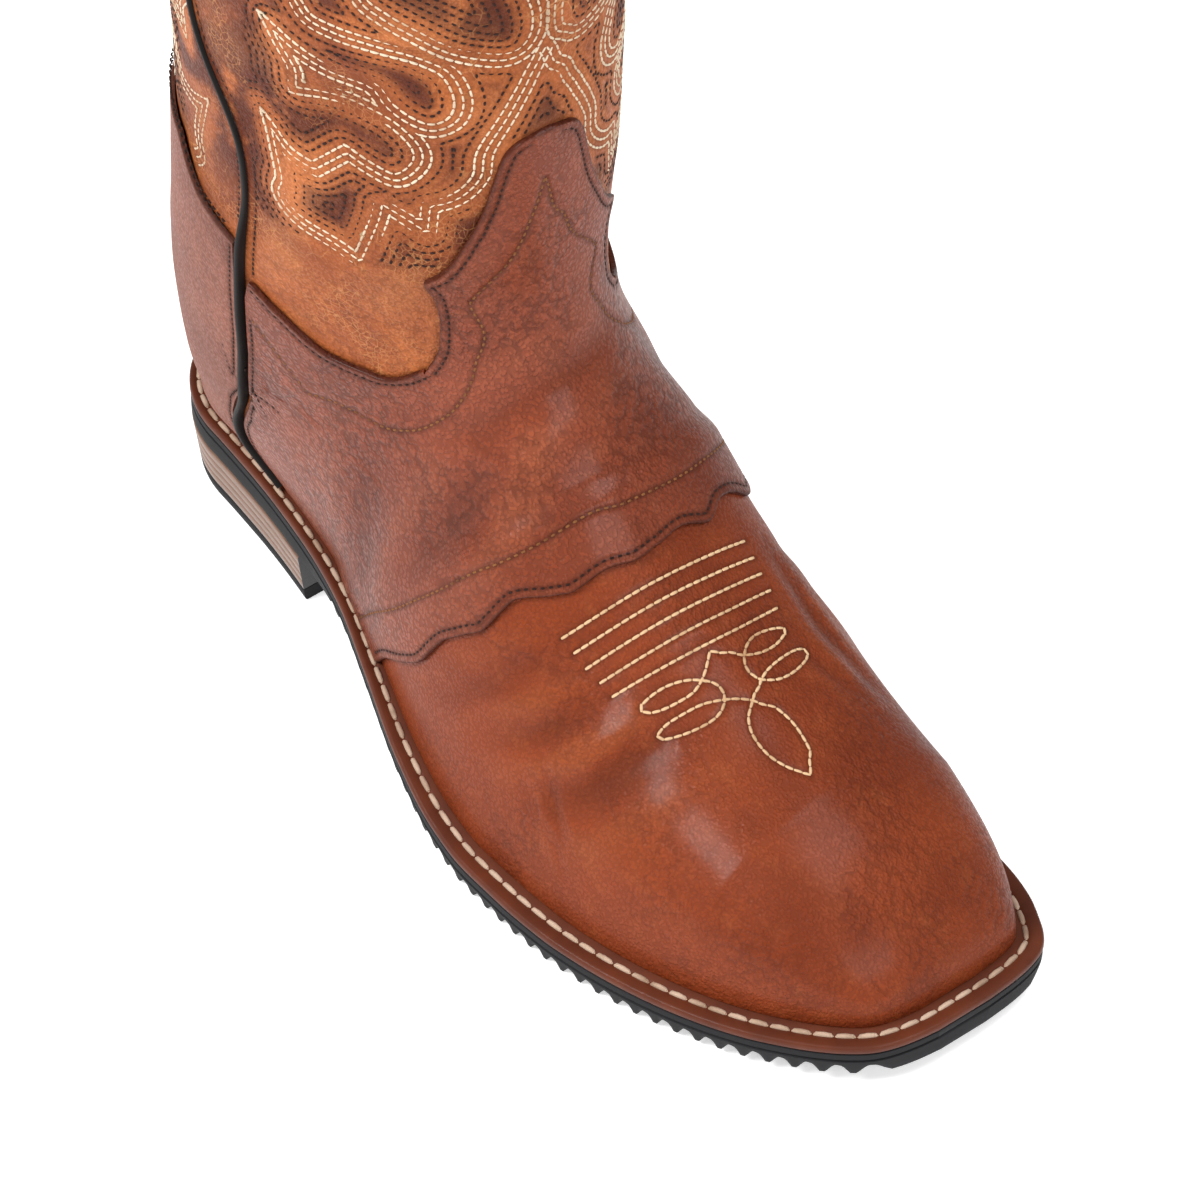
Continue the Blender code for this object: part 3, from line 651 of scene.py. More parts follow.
# Creases laid one by one: width and depth in metres, then section and place along each
CREASES = (
    (0.0060, 0.0011, ((2.35, 0.36), (2.46, 0.31), (2.54, 0.26), (2.70, 0.20), (3.10, 0.14))),
    (0.0042, -0.0006, ((2.62, 0.34), (2.80, 0.29), (2.95, 0.24), (3.15, 0.19))),
    (0.0045, 0.0008, ((3.05, 0.31), (3.24, 0.26), (3.50, 0.21), (4.00, 0.15))),
    (0.0040, 0.0006, ((3.80, 0.31), (4.05, 0.26), (4.22, 0.20), (4.55, 0.12))),
    (0.0026, 0.0006, ((3.50, 0.665), (3.00, 0.680), (2.50, 0.690))),
    (0.0022, 0.0005, ((2.62, 0.615), (2.30, 0.632), (1.96, 0.664))),
    (0.0028, 0.0006, ((2.95, 0.66), (2.35, 0.70), (1.85, 0.73))),
    (0.0030, 0.0007, ((3.30, 0.75), (2.90, 0.80), (2.60, 0.87))),
    (0.0034, 0.0007, ((3.75, 0.72), (3.55, 0.79), (3.40, 0.86))),
    (0.0016, 0.0003, ((3.60, 0.42), (3.54, 0.52), (3.48, 0.60))),
    (0.0016, 0.0003, ((3.15, 0.40), (3.08, 0.50), (2.98, 0.58))),
    (0.0020, 0.0004, ((3.25, 0.20), (2.90, 0.15), (2.60, 0.11))),
    (0.0014, 0.0003, ((2.95, 0.12), (2.70, 0.10), (2.52, 0.07))),
    (0.0075, 0.0008, ((7.30, 0.30), (6.70, 0.22), (6.20, 0.14), (6.00, 0.08))),
    (0.0065, 0.0009, ((6.60, 0.40), (5.95, 0.34), (5.70, 0.26), (5.75, 0.18))),
    (0.0060, -0.0006, ((7.00, 0.46), (6.10, 0.43), (5.50, 0.38), (5.20, 0.32))),
    (0.0070, 0.0009, ((7.60, 0.60), (6.60, 0.66), (6.00, 0.74), (5.90, 0.84))),
    (0.0055, 0.0007, ((8.60, 0.55), (7.60, 0.50), (7.30, 0.43), (7.60, 0.36))),
    (0.0060, 0.0008, ((9.60, 0.09), (10.60, 0.10), (11.80, 0.09))),
    (0.0060, 0.0008, ((9.60, 0.91), (10.60, 0.90), (11.80, 0.91))),
    (0.0090, 0.0010, ((13.00, 0.33), (13.40, 0.38), (13.55, 0.44))),
    (0.0080, 0.0010, ((14.20, 0.24), (14.60, 0.33), (14.90, 0.42), (14.80, 0.50))),
    (0.0080, 0.0009, ((14.20, 0.74), (14.60, 0.67), (14.90, 0.58))),
    (0.0080, -0.0008, ((12.60, 0.28), (13.20, 0.30), (14.20, 0.31), (15.30, 0.30))),
    (0.0100, 0.0010, ((14.60, 0.05), (14.90, 0.10), (15.20, 0.16))),
    (0.0100, 0.0010, ((14.60, 0.95), (14.90, 0.90), (15.20, 0.84))),
)

# The camera, as the photograph was taken, with Blender's 36 mm sensor
CAMERA_AZIMUTH = math.radians(-38.615)
CAMERA_ELEVATION = math.radians(46.511)
CAMERA_ROLL = math.radians(0.478)
CAMERA_PLACE = (-0.917077, -1.268832, 1.594163)
CAMERA_LENS = 246.705


def seam_place(k):
    return smooth(SEAM_LINE["section"], SEAM_LINE["place"], k)


def beside(k, v, distance):
    """A line that runs `distance` to one side of another on the surface."""
    step_k, step_v = 0.01, 0.002
    along_k = (surface(k + step_k, v) - surface(k - step_k, v)) / (2 * step_k)
    along_v = (surface(k, v + step_v) - surface(k, v - step_v)) / (2 * step_v)
    kk, kv, vv = (along_k**2).sum(-1), (along_k * along_v).sum(-1), (along_v**2).sum(-1)
    run_k, run_v = np.gradient(k), np.gradient(v)
    side_k = -(kv * run_k + vv * run_v)
    side_v = kk * run_k + kv * run_v
    size = np.sqrt(np.maximum(kk * side_k**2 + 2 * kv * side_k * side_v + vv * side_v**2, TINY))
    return k + distance * side_k / size, v + distance * side_v / size


def softened(values, times):
    """A line with its small kinks eased, its ends kept."""
    values = np.array(values)
    for _ in range(times):
        values[1:-1] = (values[:-2] + 2 * values[1:-1] + values[2:]) / 4
    return values


SEAM_RUN = np.linspace(SEAM_LINE["section"][0] + 0.1, LAST_SECTION - 0.1, 160)
AHEAD_OF_SEAM = tuple(softened(row, 16) for row in beside(SEAM_RUN, seam_place(SEAM_RUN), SEAM_ROOM))
BEHIND_SEAM = tuple(softened(row, 16) for row in beside(SEAM_RUN, seam_place(SEAM_RUN), -SEAM_ROOM))


def saddle_front(v):
    return smooth(SCALLOP_LINE["place"], SCALLOP_LINE["section"], v)


def vamp_back(v):
    return smooth(LAP_LINE["place"], LAP_LINE["section"], v)


def saddle_back(v):
    """The seams up from the foot and the shoulders between them."""
    side = np.minimum(v, 1 - v)
    rising = slice(0, int(AHEAD_OF_SEAM[1].argmax()))
    seam = np.interp(side, AHEAD_OF_SEAM[1][rising], AHEAD_OF_SEAM[0][rising])
    away = np.abs(v - TONGUE_MIDDLE)
    top = smooth(SHOULDER_LINE["away"], SHOULDER_LINE["section"], np.maximum(away, SHOULDER_LINE["away"][0]))
    top = np.where(away <= TONGUE_SHAPE["half"][0], TONGUE_FOOT, top)
    return np.where(side < AHEAD_OF_SEAM[1][rising].max(), np.minimum(seam, top), top)


def counter_low(v):
    rising = slice(0, int(BEHIND_SEAM[1].argmax()))
    return np.interp(np.minimum(v, 1 - v), BEHIND_SEAM[1][rising], BEHIND_SEAM[0][rising])


def counter_high(v):
    return np.interp(np.minimum(v, 1 - v), COUNTER_LINE["away"][::-1], COUNTER_LINE["section"][::-1])


def unit(vectors):
    return vectors / np.maximum(np.linalg.norm(vectors, axis=-1, keepdims=True), TINY)


def run_of(points):
    """The distance run along a path at each of its points."""
    return np.concatenate([[0], np.cumsum(np.linalg.norm(np.diff(points, axis=0), axis=1))])


def flowing_path(rows, per_step=8):
    """A smooth line through charted points, broken at the sharp ones."""
    first, second, sharp = (np.array(column, float) for column in zip(*rows))
    corners = [0] + [i for i in range(1, len(rows) - 1) if sharp[i]] + [len(rows) - 1]
    a, b = [], []
    for start, end in zip(corners, corners[1:]):
        at = np.linspace(0, end - start, (end - start) * per_step + 1)
        piece = slice(start, end + 1)
        short = end - start < 2
        for values, into in ((first[piece], a), (second[piece], b)):
            line = np.interp(at, np.arange(len(values)), values) if short else flowing(values, at)
            into.extend(line if end == corners[-1] else line[:-1])
    return np.array(a), np.array(b)


# The upper's surface is worked out once on a fine grid, then read off between its points
FIELD_K = np.linspace(0, LAST_SECTION, 50 * LAST_SECTION + 1)
FIELD_V = np.linspace(0, 1, 721)
FIELD_POINTS = np.concatenate([surface(rows[:, None], FIELD_V[None]) for rows in np.array_split(FIELD_K, 16)])


def field_normals():
    """Unit normals on the grid, blended where the foot turns up into the back seam."""
    index = np.arange(len(FIELD_K))
    near, far = np.maximum(index - 1, 0), np.minimum(index + 1, len(FIELD_K) - 1)
    column = np.arange(len(FIELD_V))
    left, right = np.maximum(column - 3, 0), np.minimum(column + 3, len(FIELD_V) - 1)
    back = FIELD_POINTS[far] - FIELD_POINTS[near]
    over = FIELD_POINTS[:, right] - FIELD_POINTS[:, left]
    normal = np.cross(over, back)
    normal /= np.maximum(np.linalg.norm(normal, axis=-1, keepdims=True), TINY)
    low = int(np.searchsorted(FIELD_K, HEEL_SECTION - HEEL_TURN))
    high = int(np.searchsorted(FIELD_K, HEEL_SECTION + HEEL_TURN))
    share = soft_step(FIELD_K[low], FIELD_K[high], FIELD_K)[:, None, None]
    mixed = (1 - share) * normal[np.minimum(index, low)] + share * normal[np.maximum(index, high)]
    return mixed / np.maximum(np.linalg.norm(mixed, axis=-1, keepdims=True), TINY)


FIELD_NORMALS = field_normals()


def read_field(grid, k, v):
    k, v = np.broadcast_arrays(np.asarray(k, float), np.asarray(v, float))
    row = np.clip(k / LAST_SECTION, 0, 1) * (len(FIELD_K) - 1)
    column = np.clip(v, 0, 1) * (len(FIELD_V) - 1)
    i = np.clip(row.astype(int), 0, len(FIELD_K) - 2)
    j = np.clip(column.astype(int), 0, len(FIELD_V) - 2)
    s, t = (row - i)[..., None], (column - j)[..., None]
    near = grid[i, j] * (1 - t) + grid[i, j + 1] * t
    far = grid[i + 1, j] * (1 - t) + grid[i + 1, j + 1] * t
    return near * (1 - s) + far * s


def place(k, v):
    """Points of the bare upper."""
    return read_field(FIELD_POINTS, k, v)


def normal_at(k, v):
    return unit(read_field(FIELD_NORMALS, k, v))


def skin(k, v, proud):
    """The upper's outside moved out by `proud`, its foot on the welt and its ends joined at the back seam."""
    k, v, proud = np.broadcast_arrays(np.asarray(k, float), v, proud)
    on_foot = k <= HEEL_SECTION
    end = (v <= 0) | (v >= 1)
    foot = (on_foot & end) | (k <= 0)
    normal = normal_at(k, v)
    level = normal * (1, 1, 0)
    level[k <= 0] = (0, -1, 0)
    level[k >= HEEL_SECTION] = (0, 1, 0)
    normal = np.where(foot[..., None], unit(level), normal)
    points = place(k, v) + normal * proud[..., None]
    on_welt = welt_top(HEEL_MIDDLE - points[..., 1]) + GAP
    points[..., 2] = np.where(foot, on_welt, points[..., 2])
    other = place(k, 1 - v) + normal_at(k, 1 - v) * proud[..., None]
    seam = end & ~on_foot
    return np.where(seam[..., None], (points + other) / 2, points)


# Where the creases run, as points in space with their strength
def crease_paths():
    paths = []
    for width, depth, places in CREASES:
        k, v = (np.array(column) for column in zip(*places))
        k, v = flowing(k, np.linspace(0, len(k) - 1, 36)), flowing(v, np.linspace(0, len(v) - 1, 36))
        fade = np.sin(np.linspace(0.12, math.pi - 0.12, 36)) ** 0.7
        paths.append((place(k, v), fade, width, depth))
    return paths


CREASE_PATHS = crease_paths()


# How far a crease reaches, and its soft ridge beside the pressed line, in shares of its width and depth
CREASE_REACH = 3.5
RIDGE_SHARE = 0.42
RIDGE_AWAY = 1.9


def relief(points):
    """How far the creases raise or sink the leather at points of the bare surface."""
    flat = points.reshape(-1, 3)
    total = np.zeros(len(flat))
    for path, fade, width, depth in CREASE_PATHS:
        reach = CREASE_REACH * width
        low, high = path.min(0) - reach, path.max(0) + reach
        near = np.flatnonzero(((flat > low) & (flat < high)).all(1))
        if not len(near):
            continue
        gap = np.linalg.norm(flat[near][:, None] - path[None], axis=2)
        best = gap.argmin(1)
        away = gap[np.arange(len(near)), best] / width
        shape = -np.exp(-(away**2)) + RIDGE_SHARE * np.exp(-((away - RIDGE_AWAY) ** 2))
        total[near] += depth * fade[best] * shape
    return total.reshape(points.shape[:-1])


def columns_between(low, high, v, spacing, marks=(0.0,)):
    """Sections of a grid whose rows lie at even real distances from `low` to `high` up each column."""
    share = np.linspace(0, 1, 81)[:, None]
    k = low + (high - low) * share
    path = place(k, np.broadcast_to(v, k.shape))
    steps = np.linalg.norm(np.diff(path, axis=0), axis=2)
    run = np.concatenate([np.zeros((1, len(v))), np.cumsum(steps, axis=0)])
    total = run[-1]
    marks = np.asarray(marks)[:, None] * np.minimum(1, total / (4 * max(marks[-1], 1e-6)))
    count = int(math.ceil(total.max() / spacing))
    middle = marks[-1] + (total - 2 * marks[-1]) * np.linspace(0, 1, count + 1)[1:-1, None]
    distance = np.concatenate([marks, middle, total - marks[::-1]])
    found = [np.interp(distance[:, j], run[:, j], k[:, j]) for j in range(len(v))]
    return np.array(found).T, np.broadcast_to(v, distance.shape), distance, total - distance


def lip(distance):
    """Share of the full thickness at a distance from a cut edge."""
    near = np.clip(1 - distance / LIP_ROUND, 0, 1)
    return LIP_FLOOR + (1 - LIP_FLOOR) * np.sqrt(1 - near**2)


# Heights of the leather's two faces over the bare upper
def vamp_under(k, v):
    return SKIN_GAP + 0 * k


def vamp_face(k, v):
    return SKIN_GAP + OVERLAY + 0 * k


def saddle_under(k, v):
    end = vamp_back(v)
    return SKIN_GAP + (OVERLAY + SKIN_GAP) * (1 - soft_step(end + 0.25, end + 0.75, k))


def saddle_face(k, v):
    return saddle_under(k, v) + OVERLAY


def linked(name, data):
    """A new object of the scene."""
    made = bpy.data.objects.new(name, data)
    bpy.context.scene.collection.objects.link(made)
    return made


def mesh_object(name, points, faces, look, tones=None, sharp=None):
    """One rigid piece from arrays of points and faces, with tones for its material to read."""
    mesh = bpy.data.meshes.new(name)
    mesh.from_pydata(np.asarray(points).tolist(), [], faces)
    mesh.materials.append(look)
    for tone_name, values in (tones or {}).items():
        layer = mesh.attributes.new(tone_name, "FLOAT", "POINT")
        layer.data.foreach_set("value", np.asarray(values, np.float32))
    mesh.shade_smooth()
    if sharp:
        mesh.set_sharp_from_angle(angle=math.radians(sharp))
    made = linked(name, mesh)
    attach(made, "root")
    return made


def grid_corners(rows, columns, base=0):
    """The four corners of each cell of a grid of points."""
    index = base + np.arange(rows * columns).reshape(rows, columns)
    return index[:-1, :-1], index[:-1, 1:], index[1:, 1:], index[1:, :-1]


def shell(name, sheets, look, tones=None):
    """A closed wall between outer and inner grids of points, with coincident outer points made one."""
    outer = np.concatenate([sheet[0].reshape(-1, 3) for sheet in sheets])
    inner = np.concatenate([sheet[1].reshape(-1, 3) for sheet in sheets])
    faces, base = [], 0
    for sheet in sheets:
        rows, columns = sheet[0].shape[:2]
        a, b, c, d = grid_corners(rows, columns, base)
        faces += [np.stack([a, b, c], -1).reshape(-1, 3), np.stack([a, c, d], -1).reshape(-1, 3)]
        base += rows * columns
    faces = np.concatenate(faces)
    _, first, index = np.unique(np.round(outer * WELD), axis=0, return_index=True, return_inverse=True)
    index = index.reshape(-1)
    faces = index[faces]
    whole = (faces[:, 0] != faces[:, 1]) & (faces[:, 1] != faces[:, 2]) & (faces[:, 0] != faces[:, 2])
    faces = faces[whole]
    count = len(first)
    ends = np.concatenate([faces[:, [0, 1]], faces[:, [1, 2]], faces[:, [2, 0]]])
    key, back = ends[:, 0] * count + ends[:, 1], ends[:, 1] * count + ends[:, 0]
    rim = ends[~np.isin(key, back)]
    walls = np.concatenate(
        [
            np.stack([rim[:, 1], rim[:, 0], rim[:, 0] + count], -1),
            np.stack([rim[:, 1], rim[:, 0] + count, rim[:, 1] + count], -1),
        ]
    )
    faces = np.concatenate([faces, faces[:, ::-1] + count, walls])
    points = np.concatenate([outer[first], inner[first]])
    kept = {key: np.tile(np.asarray(values).reshape(-1)[first], 2) for key, values in (tones or {}).items()}
    return mesh_object(name, points, faces.tolist(), look, kept, EDGE_ANGLE)


def stack(name, loops, look, closed=False, sharp=None):
    """Loops of one length joined in turn, capped by strips, or round to the first."""
    loops = [np.asarray(loop, float) for loop in loops]
    count, last = len(loops[0]), len(loops) - 1
    i = np.arange(count)
    j = (i + 1) % count
    faces = []
    for low in range(last + closed):
        near, far = low * count, (low + 1) % len(loops) * count
        faces += np.stack([near + i, near + j, far + j, far + i], -1).tolist()
    if not closed:
        for start, flip in ((0, True), (last * count, False)):
            for step in range(count // 2):
                corners = (step, step + 1, count - 1 - step, (count - step) % count)
                face = list(dict.fromkeys(start + corner for corner in corners))
                if len(face) > 2:
                    faces.append(face[::-1] if flip else face)
    return mesh_object(name, np.concatenate(loops), faces, look, sharp=sharp or EDGE_ANGLE)


# Stitch rows are sections and places, and the leather that they lie on gives their height
def mirrored(path):
    return path[0], 2 * TONGUE_MIDDLE - path[1]


def other_side(path):
    return path[0], 1 - path[1]


def on_shaft(away, height, middle, drop):
    """Sections and places for charted shares away from a panel's middle and heights."""
    v = np.asarray(middle + away, float)
    z = (np.asarray(height) - drop) * HEIGHT
    steps = np.linspace(SHAFT_START, LAST_SECTION, 60)
    wrapped = v % 1.0
    heights = place(steps[:, None], np.broadcast_to(wrapped, (60, len(v))))[..., 2]
    k = np.array([np.interp(z[j], heights[:, j], steps) for j in range(len(v))])
    return k, v


# Longest mitre of a moved corner, and the least gap of a moved row, in shares of the spacing
MITRE = 0.34
BAND_CLEAR = 0.93


def offset_line(points, normals, distance):
    """A line moved sideways in the surface, with mitred corners."""
    run = unit(np.diff(points, axis=0))
    run = np.concatenate([run[:1], run, run[-1:]])
    side = unit(np.cross(run, np.concatenate([normals[:1], normals])))
    before, after = side[:-1], side[1:]
    middle = unit(before + after)
    stretch = 1 / np.clip((middle * after).sum(1), MITRE, 1)
    return points + middle * (distance * stretch)[:, None]


def band_rows(line):
    """The three rows of one band, without the folds that corners make inside them."""
    points, normals = line
    rows = [line]
    for distance in (-BAND_SPACING, BAND_SPACING):
        moved = offset_line(points, normals, distance)
        gap = np.linalg.norm(moved[:, None] - points[None], axis=2).min(1)
        clear = gap > BAND_CLEAR * BAND_SPACING
        rows.append((moved[clear], normals[clear]))
    return rows


# One stitch as rings along it: place in its length, share of its size, share of its sink
STITCH_RINGS = (
    (-0.5, 0.30, -1.0),
    (-0.36, 0.85, -0.15),
    (0.0, 1.0, 0.0),
    (0.36, 0.85, -0.15),
    (0.5, 0.30, -1.0),
)


def along_line(at, run, values):
    """Points or normals of a line at distances along it."""
    return np.stack([np.interp(at, run, values[:, axis]) for axis in range(3)], -1)


def stitch_places(points, normals, pitch, length):
    """The middle, run, side and normal of each stitch of one row."""
    run = run_of(points)
    count = max(1, int(round(run[-1] / pitch)))
    at = (np.arange(count) + 0.5) * run[-1] / count
    reach = np.minimum(length / 2, run[-1] / 2)
    middle, ahead, behind = (along_line(at + step, run, points) for step in (0, reach, -reach))
    tangent = unit(ahead - behind)
    side = unit(np.cross(unit(along_line(at, run, normals)), tangent))
    return (middle * 2 + ahead + behind) / 4, tangent, side, np.cross(tangent, side)


def rows_of_stitches(name, lines, look, pitch, length, width, thick, sink, sides):
    """Threads laid along lines of points with normals: one small rounded bar for each stitch."""
    turn = np.arange(sides) * 2 * math.pi / sides
    local = []
    for x, size, dip in STITCH_RINGS:
        for angle in turn:
            up = math.sin(angle) * thick / 2 * size + dip * sink
            local.append((x * length, math.cos(angle) * width / 2 * size, up))
    local = np.array(local)
    found = [stitch_places(*line, pitch, length) for line in lines if run_of(line[0])[-1] >= pitch]
    centre, tangent, side, normal = (np.concatenate(column) for column in zip(*found))
    points = (
        centre[:, None]
        + tangent[:, None] * local[None, :, :1]
        + side[:, None] * local[None, :, 1:2]
        + normal[:, None] * local[None, :, 2:]
    )
    ring = np.arange(sides)
    after = (ring + 1) % sides
    faces = []
    for low in range(0, len(local) - sides, sides):
        high = low + sides
        faces += np.stack([low + ring, low + after, high + after, high + ring], -1).tolist()
    caps = [ring[::-1], len(local) - sides + ring]
    starts = np.arange(len(centre)) * len(local)
    quads = (starts[:, None, None] + np.array(faces)[None]).reshape(-1, 4)
    ends = (starts[:, None, None] + np.array(caps)[None]).reshape(-1, sides)
    run = np.tile(local[:, 0], len(centre))
    return mesh_object(name, points.reshape(-1, 3), quads.tolist() + ends.tolist(), look, {"run": run})


def contour(field, x, y, level):
    """Lines where a charted field crosses a level, walked cell by cell and chained."""
    ends = {}
    segments = []

    def cross(i, j, m, n):
        share = (level - field[i, j]) / (field[m, n] - field[i, j])
        return (x[j] + (x[n] - x[j]) * share, y[i] + (y[m] - y[i]) * share)

    above = field > level
    mixed = above[:-1, :-1].astype(int) + above[:-1, 1:] + above[1:, 1:] + above[1:, :-1]
    for i, j in zip(*np.nonzero((mixed > 0) & (mixed < 4))):
        corners = ((i, j), (i, j + 1), (i + 1, j + 1), (i + 1, j))
        sides = zip(corners, corners[1:] + corners[:1])
        hits = [tuple(sorted(side)) for side in sides if above[side[0]] != above[side[1]]]
        for first, second in zip(hits[::2], hits[1::2]):
            segments.append((first, second))
    for n, (first, second) in enumerate(segments):
        ends.setdefault(first, []).append((n, second))
        ends.setdefault(second, []).append((n, first))
    used, lines = set(), []
    order = sorted(ends, key=lambda key: len(ends[key]))
    for start in order:
        chain, at = [start], start
        while True:
            step = [(n, other) for n, other in ends[at] if n not in used]
            if not step:
                break
            used.add(step[0][0])
            at = step[0][1]
            chain.append(at)
        if len(chain) > 3:
            lines.append(np.array([cross(*a, *b) for a, b in chain]))
    return lines


def panel_paths(sign):
    """The band and the loop of one half of a panel: shares away from its middle, and heights."""
    paths = [flowing_path(rows) for rows in (BAND, LOOP)]
    return [(sign * away, height) for away, height in paths]


# The shaft's two panels, and the distances of their echo rows from the bands
PANELS = (
    {"middle": TONGUE_MIDDLE, "drop": 0.0, "half_width": 0.075, "low": 0.545},
    {"middle": 0.0, "drop": BACK_DROP, "half_width": 0.055, "low": 0.50},
)
GIRTH = 0.335
ECHO_LEVELS = (0.0046, 0.0068, 0.0090, 0.0112, 0.0134)
ECHO_CELL = 0.0012
ECHO_HIGH = 0.995
ECHO_SHORTEST = 9
FAR = 1.0


def echo_rows(drop, half_width, low):
    """Dark rows that echo the bands: lines at even distances from them."""
    x = np.arange(-half_width, half_width, ECHO_CELL)
    y = np.arange(low * HEIGHT, ECHO_HIGH * HEIGHT, ECHO_CELL)
    samples = []
    for away, height in panel_paths(-1) + panel_paths(1):
        samples.append(np.stack([away * GIRTH, (height - drop) * HEIGHT], -1))
    samples = np.concatenate(samples)
    grid = np.stack(np.meshgrid(x, y), -1)
    field = np.full(grid.shape[:2], FAR)
    for part in np.array_split(samples, 12):
        gap = np.linalg.norm(grid[:, :, None] - part[None, None], axis=3).min(2)
        field = np.minimum(field, gap)
    lines = []
    for level in ECHO_LEVELS:
        for line in contour(field, x, y, level):
            if len(line) > ECHO_SHORTEST:
                soft = line.copy()
                soft[1:-1] = (line[:-2] + 2 * line[1:-1] + line[2:]) / 4
                lines.append((soft[:, 0] / GIRTH, soft[:, 1] / HEIGHT + drop))
    return lines


def new_material(name):
    made = bpy.data.materials.new(name)
    made.use_nodes = True
    tree = made.node_tree
    shader = next(node for node in tree.nodes if node.type == "BSDF_PRINCIPLED")
    return made, tree, shader


def put(tree, kind, settings=None, inputs=None):
    """A new node with its settings, and its inputs set to values or joined to other nodes' outputs."""
    made = tree.nodes.new(kind)
    for key, value in (settings or {}).items():
        setattr(made, key, value)
    for key, value in (inputs or {}).items():
        if isinstance(value, bpy.types.NodeSocket):
            tree.links.new(value, made.inputs[key])
        else:
            made.inputs[key].default_value = value
    return made


def math_node(tree, operation, *values, clamp=False):
    settings = {"operation": operation, "use_clamp": clamp}
    return put(tree, "ShaderNodeMath", settings, dict(enumerate(values))).outputs[0]


def vector_math(tree, operation, inputs):
    return put(tree, "ShaderNodeVectorMath", {"operation": operation}, inputs).outputs[0]


def times(tree, first, second, clamp=False):
    return math_node(tree, "MULTIPLY", first, second, clamp=clamp)


def times_plus(tree, first, second, third):
    return math_node(tree, "MULTIPLY_ADD", first, second, third)


def ramp(tree, value, low, high):
    """0 below `low`, 1 above `high`, soft between."""
    settings = {"interpolation_type": "SMOOTHSTEP"}
    inputs = {"Value": value, "From Min": low, "From Max": high}
    return put(tree, "ShaderNodeMapRange", settings, inputs).outputs["Result"]


def mixed(tree, share, first, second, blend="MIX"):
    made = tree.nodes.new("ShaderNodeMix")
    made.data_type = "RGBA"
    made.blend_type = blend
    sockets = [socket for socket in made.inputs if socket.type == "RGBA"]
    factor = made.inputs[0]
    for socket, value in ((factor, share), (sockets[0], first), (sockets[1], second)):
        if isinstance(value, bpy.types.NodeSocket):
            tree.links.new(value, socket)
        else:
            socket.default_value = value if socket is factor else (*value, 1)
    return next(socket for socket in made.outputs if socket.type == "RGBA")


def noise(tree, where, scale, detail=4.0, rough=0.55, distort=0.0):
    inputs = {"Vector": where, "Scale": scale, "Detail": detail, "Roughness": rough, "Distortion": distort}
    return put(tree, "ShaderNodeTexNoise", None, inputs).outputs["Fac"]


def cells(tree, where, scale, smoothness):
    """Distance inside soft pebbles."""
    inputs = {"Vector": where, "Scale": scale, "Smoothness": smoothness, "Randomness": 1.0}
    return put(tree, "ShaderNodeTexVoronoi", {"feature": "SMOOTH_F1"}, inputs).outputs["Distance"]


def veins(tree, where, scale, width):
    """1 on the borders between cells, 0 away from them."""
    inputs = {"Vector": where, "Scale": scale}
    border = put(tree, "ShaderNodeTexVoronoi", {"feature": "DISTANCE_TO_EDGE"}, inputs).outputs["Distance"]
    return math_node(tree, "SUBTRACT", 1.0, ramp(tree, border, 0.0, width))


def join_bump(tree, shader, height, strength, distance):
    inputs = {"Strength": strength, "Distance": distance, "Height": height}
    bump = put(tree, "ShaderNodeBump", None, inputs)
    tree.links.new(bump.outputs["Normal"], shader.inputs["Normal"])


def set_shader(shader, values):
    """Constants set directly on the shader's sockets."""
    for key, value in values.items():
        shader.inputs[key].default_value = value


def darker(colour, share):
    return tuple(part * share for part in colour)


def object_place(tree, stretch=(1, 1, 1)):
    at = put(tree, "ShaderNodeTexCoord").outputs["Object"]
    return put(tree, "ShaderNodeMapping", None, {"Vector": at, "Scale": stretch}).outputs["Vector"]


def tone(tree, name):
    return put(tree, "ShaderNodeAttribute", {"attribute_name": name}).outputs["Fac"]


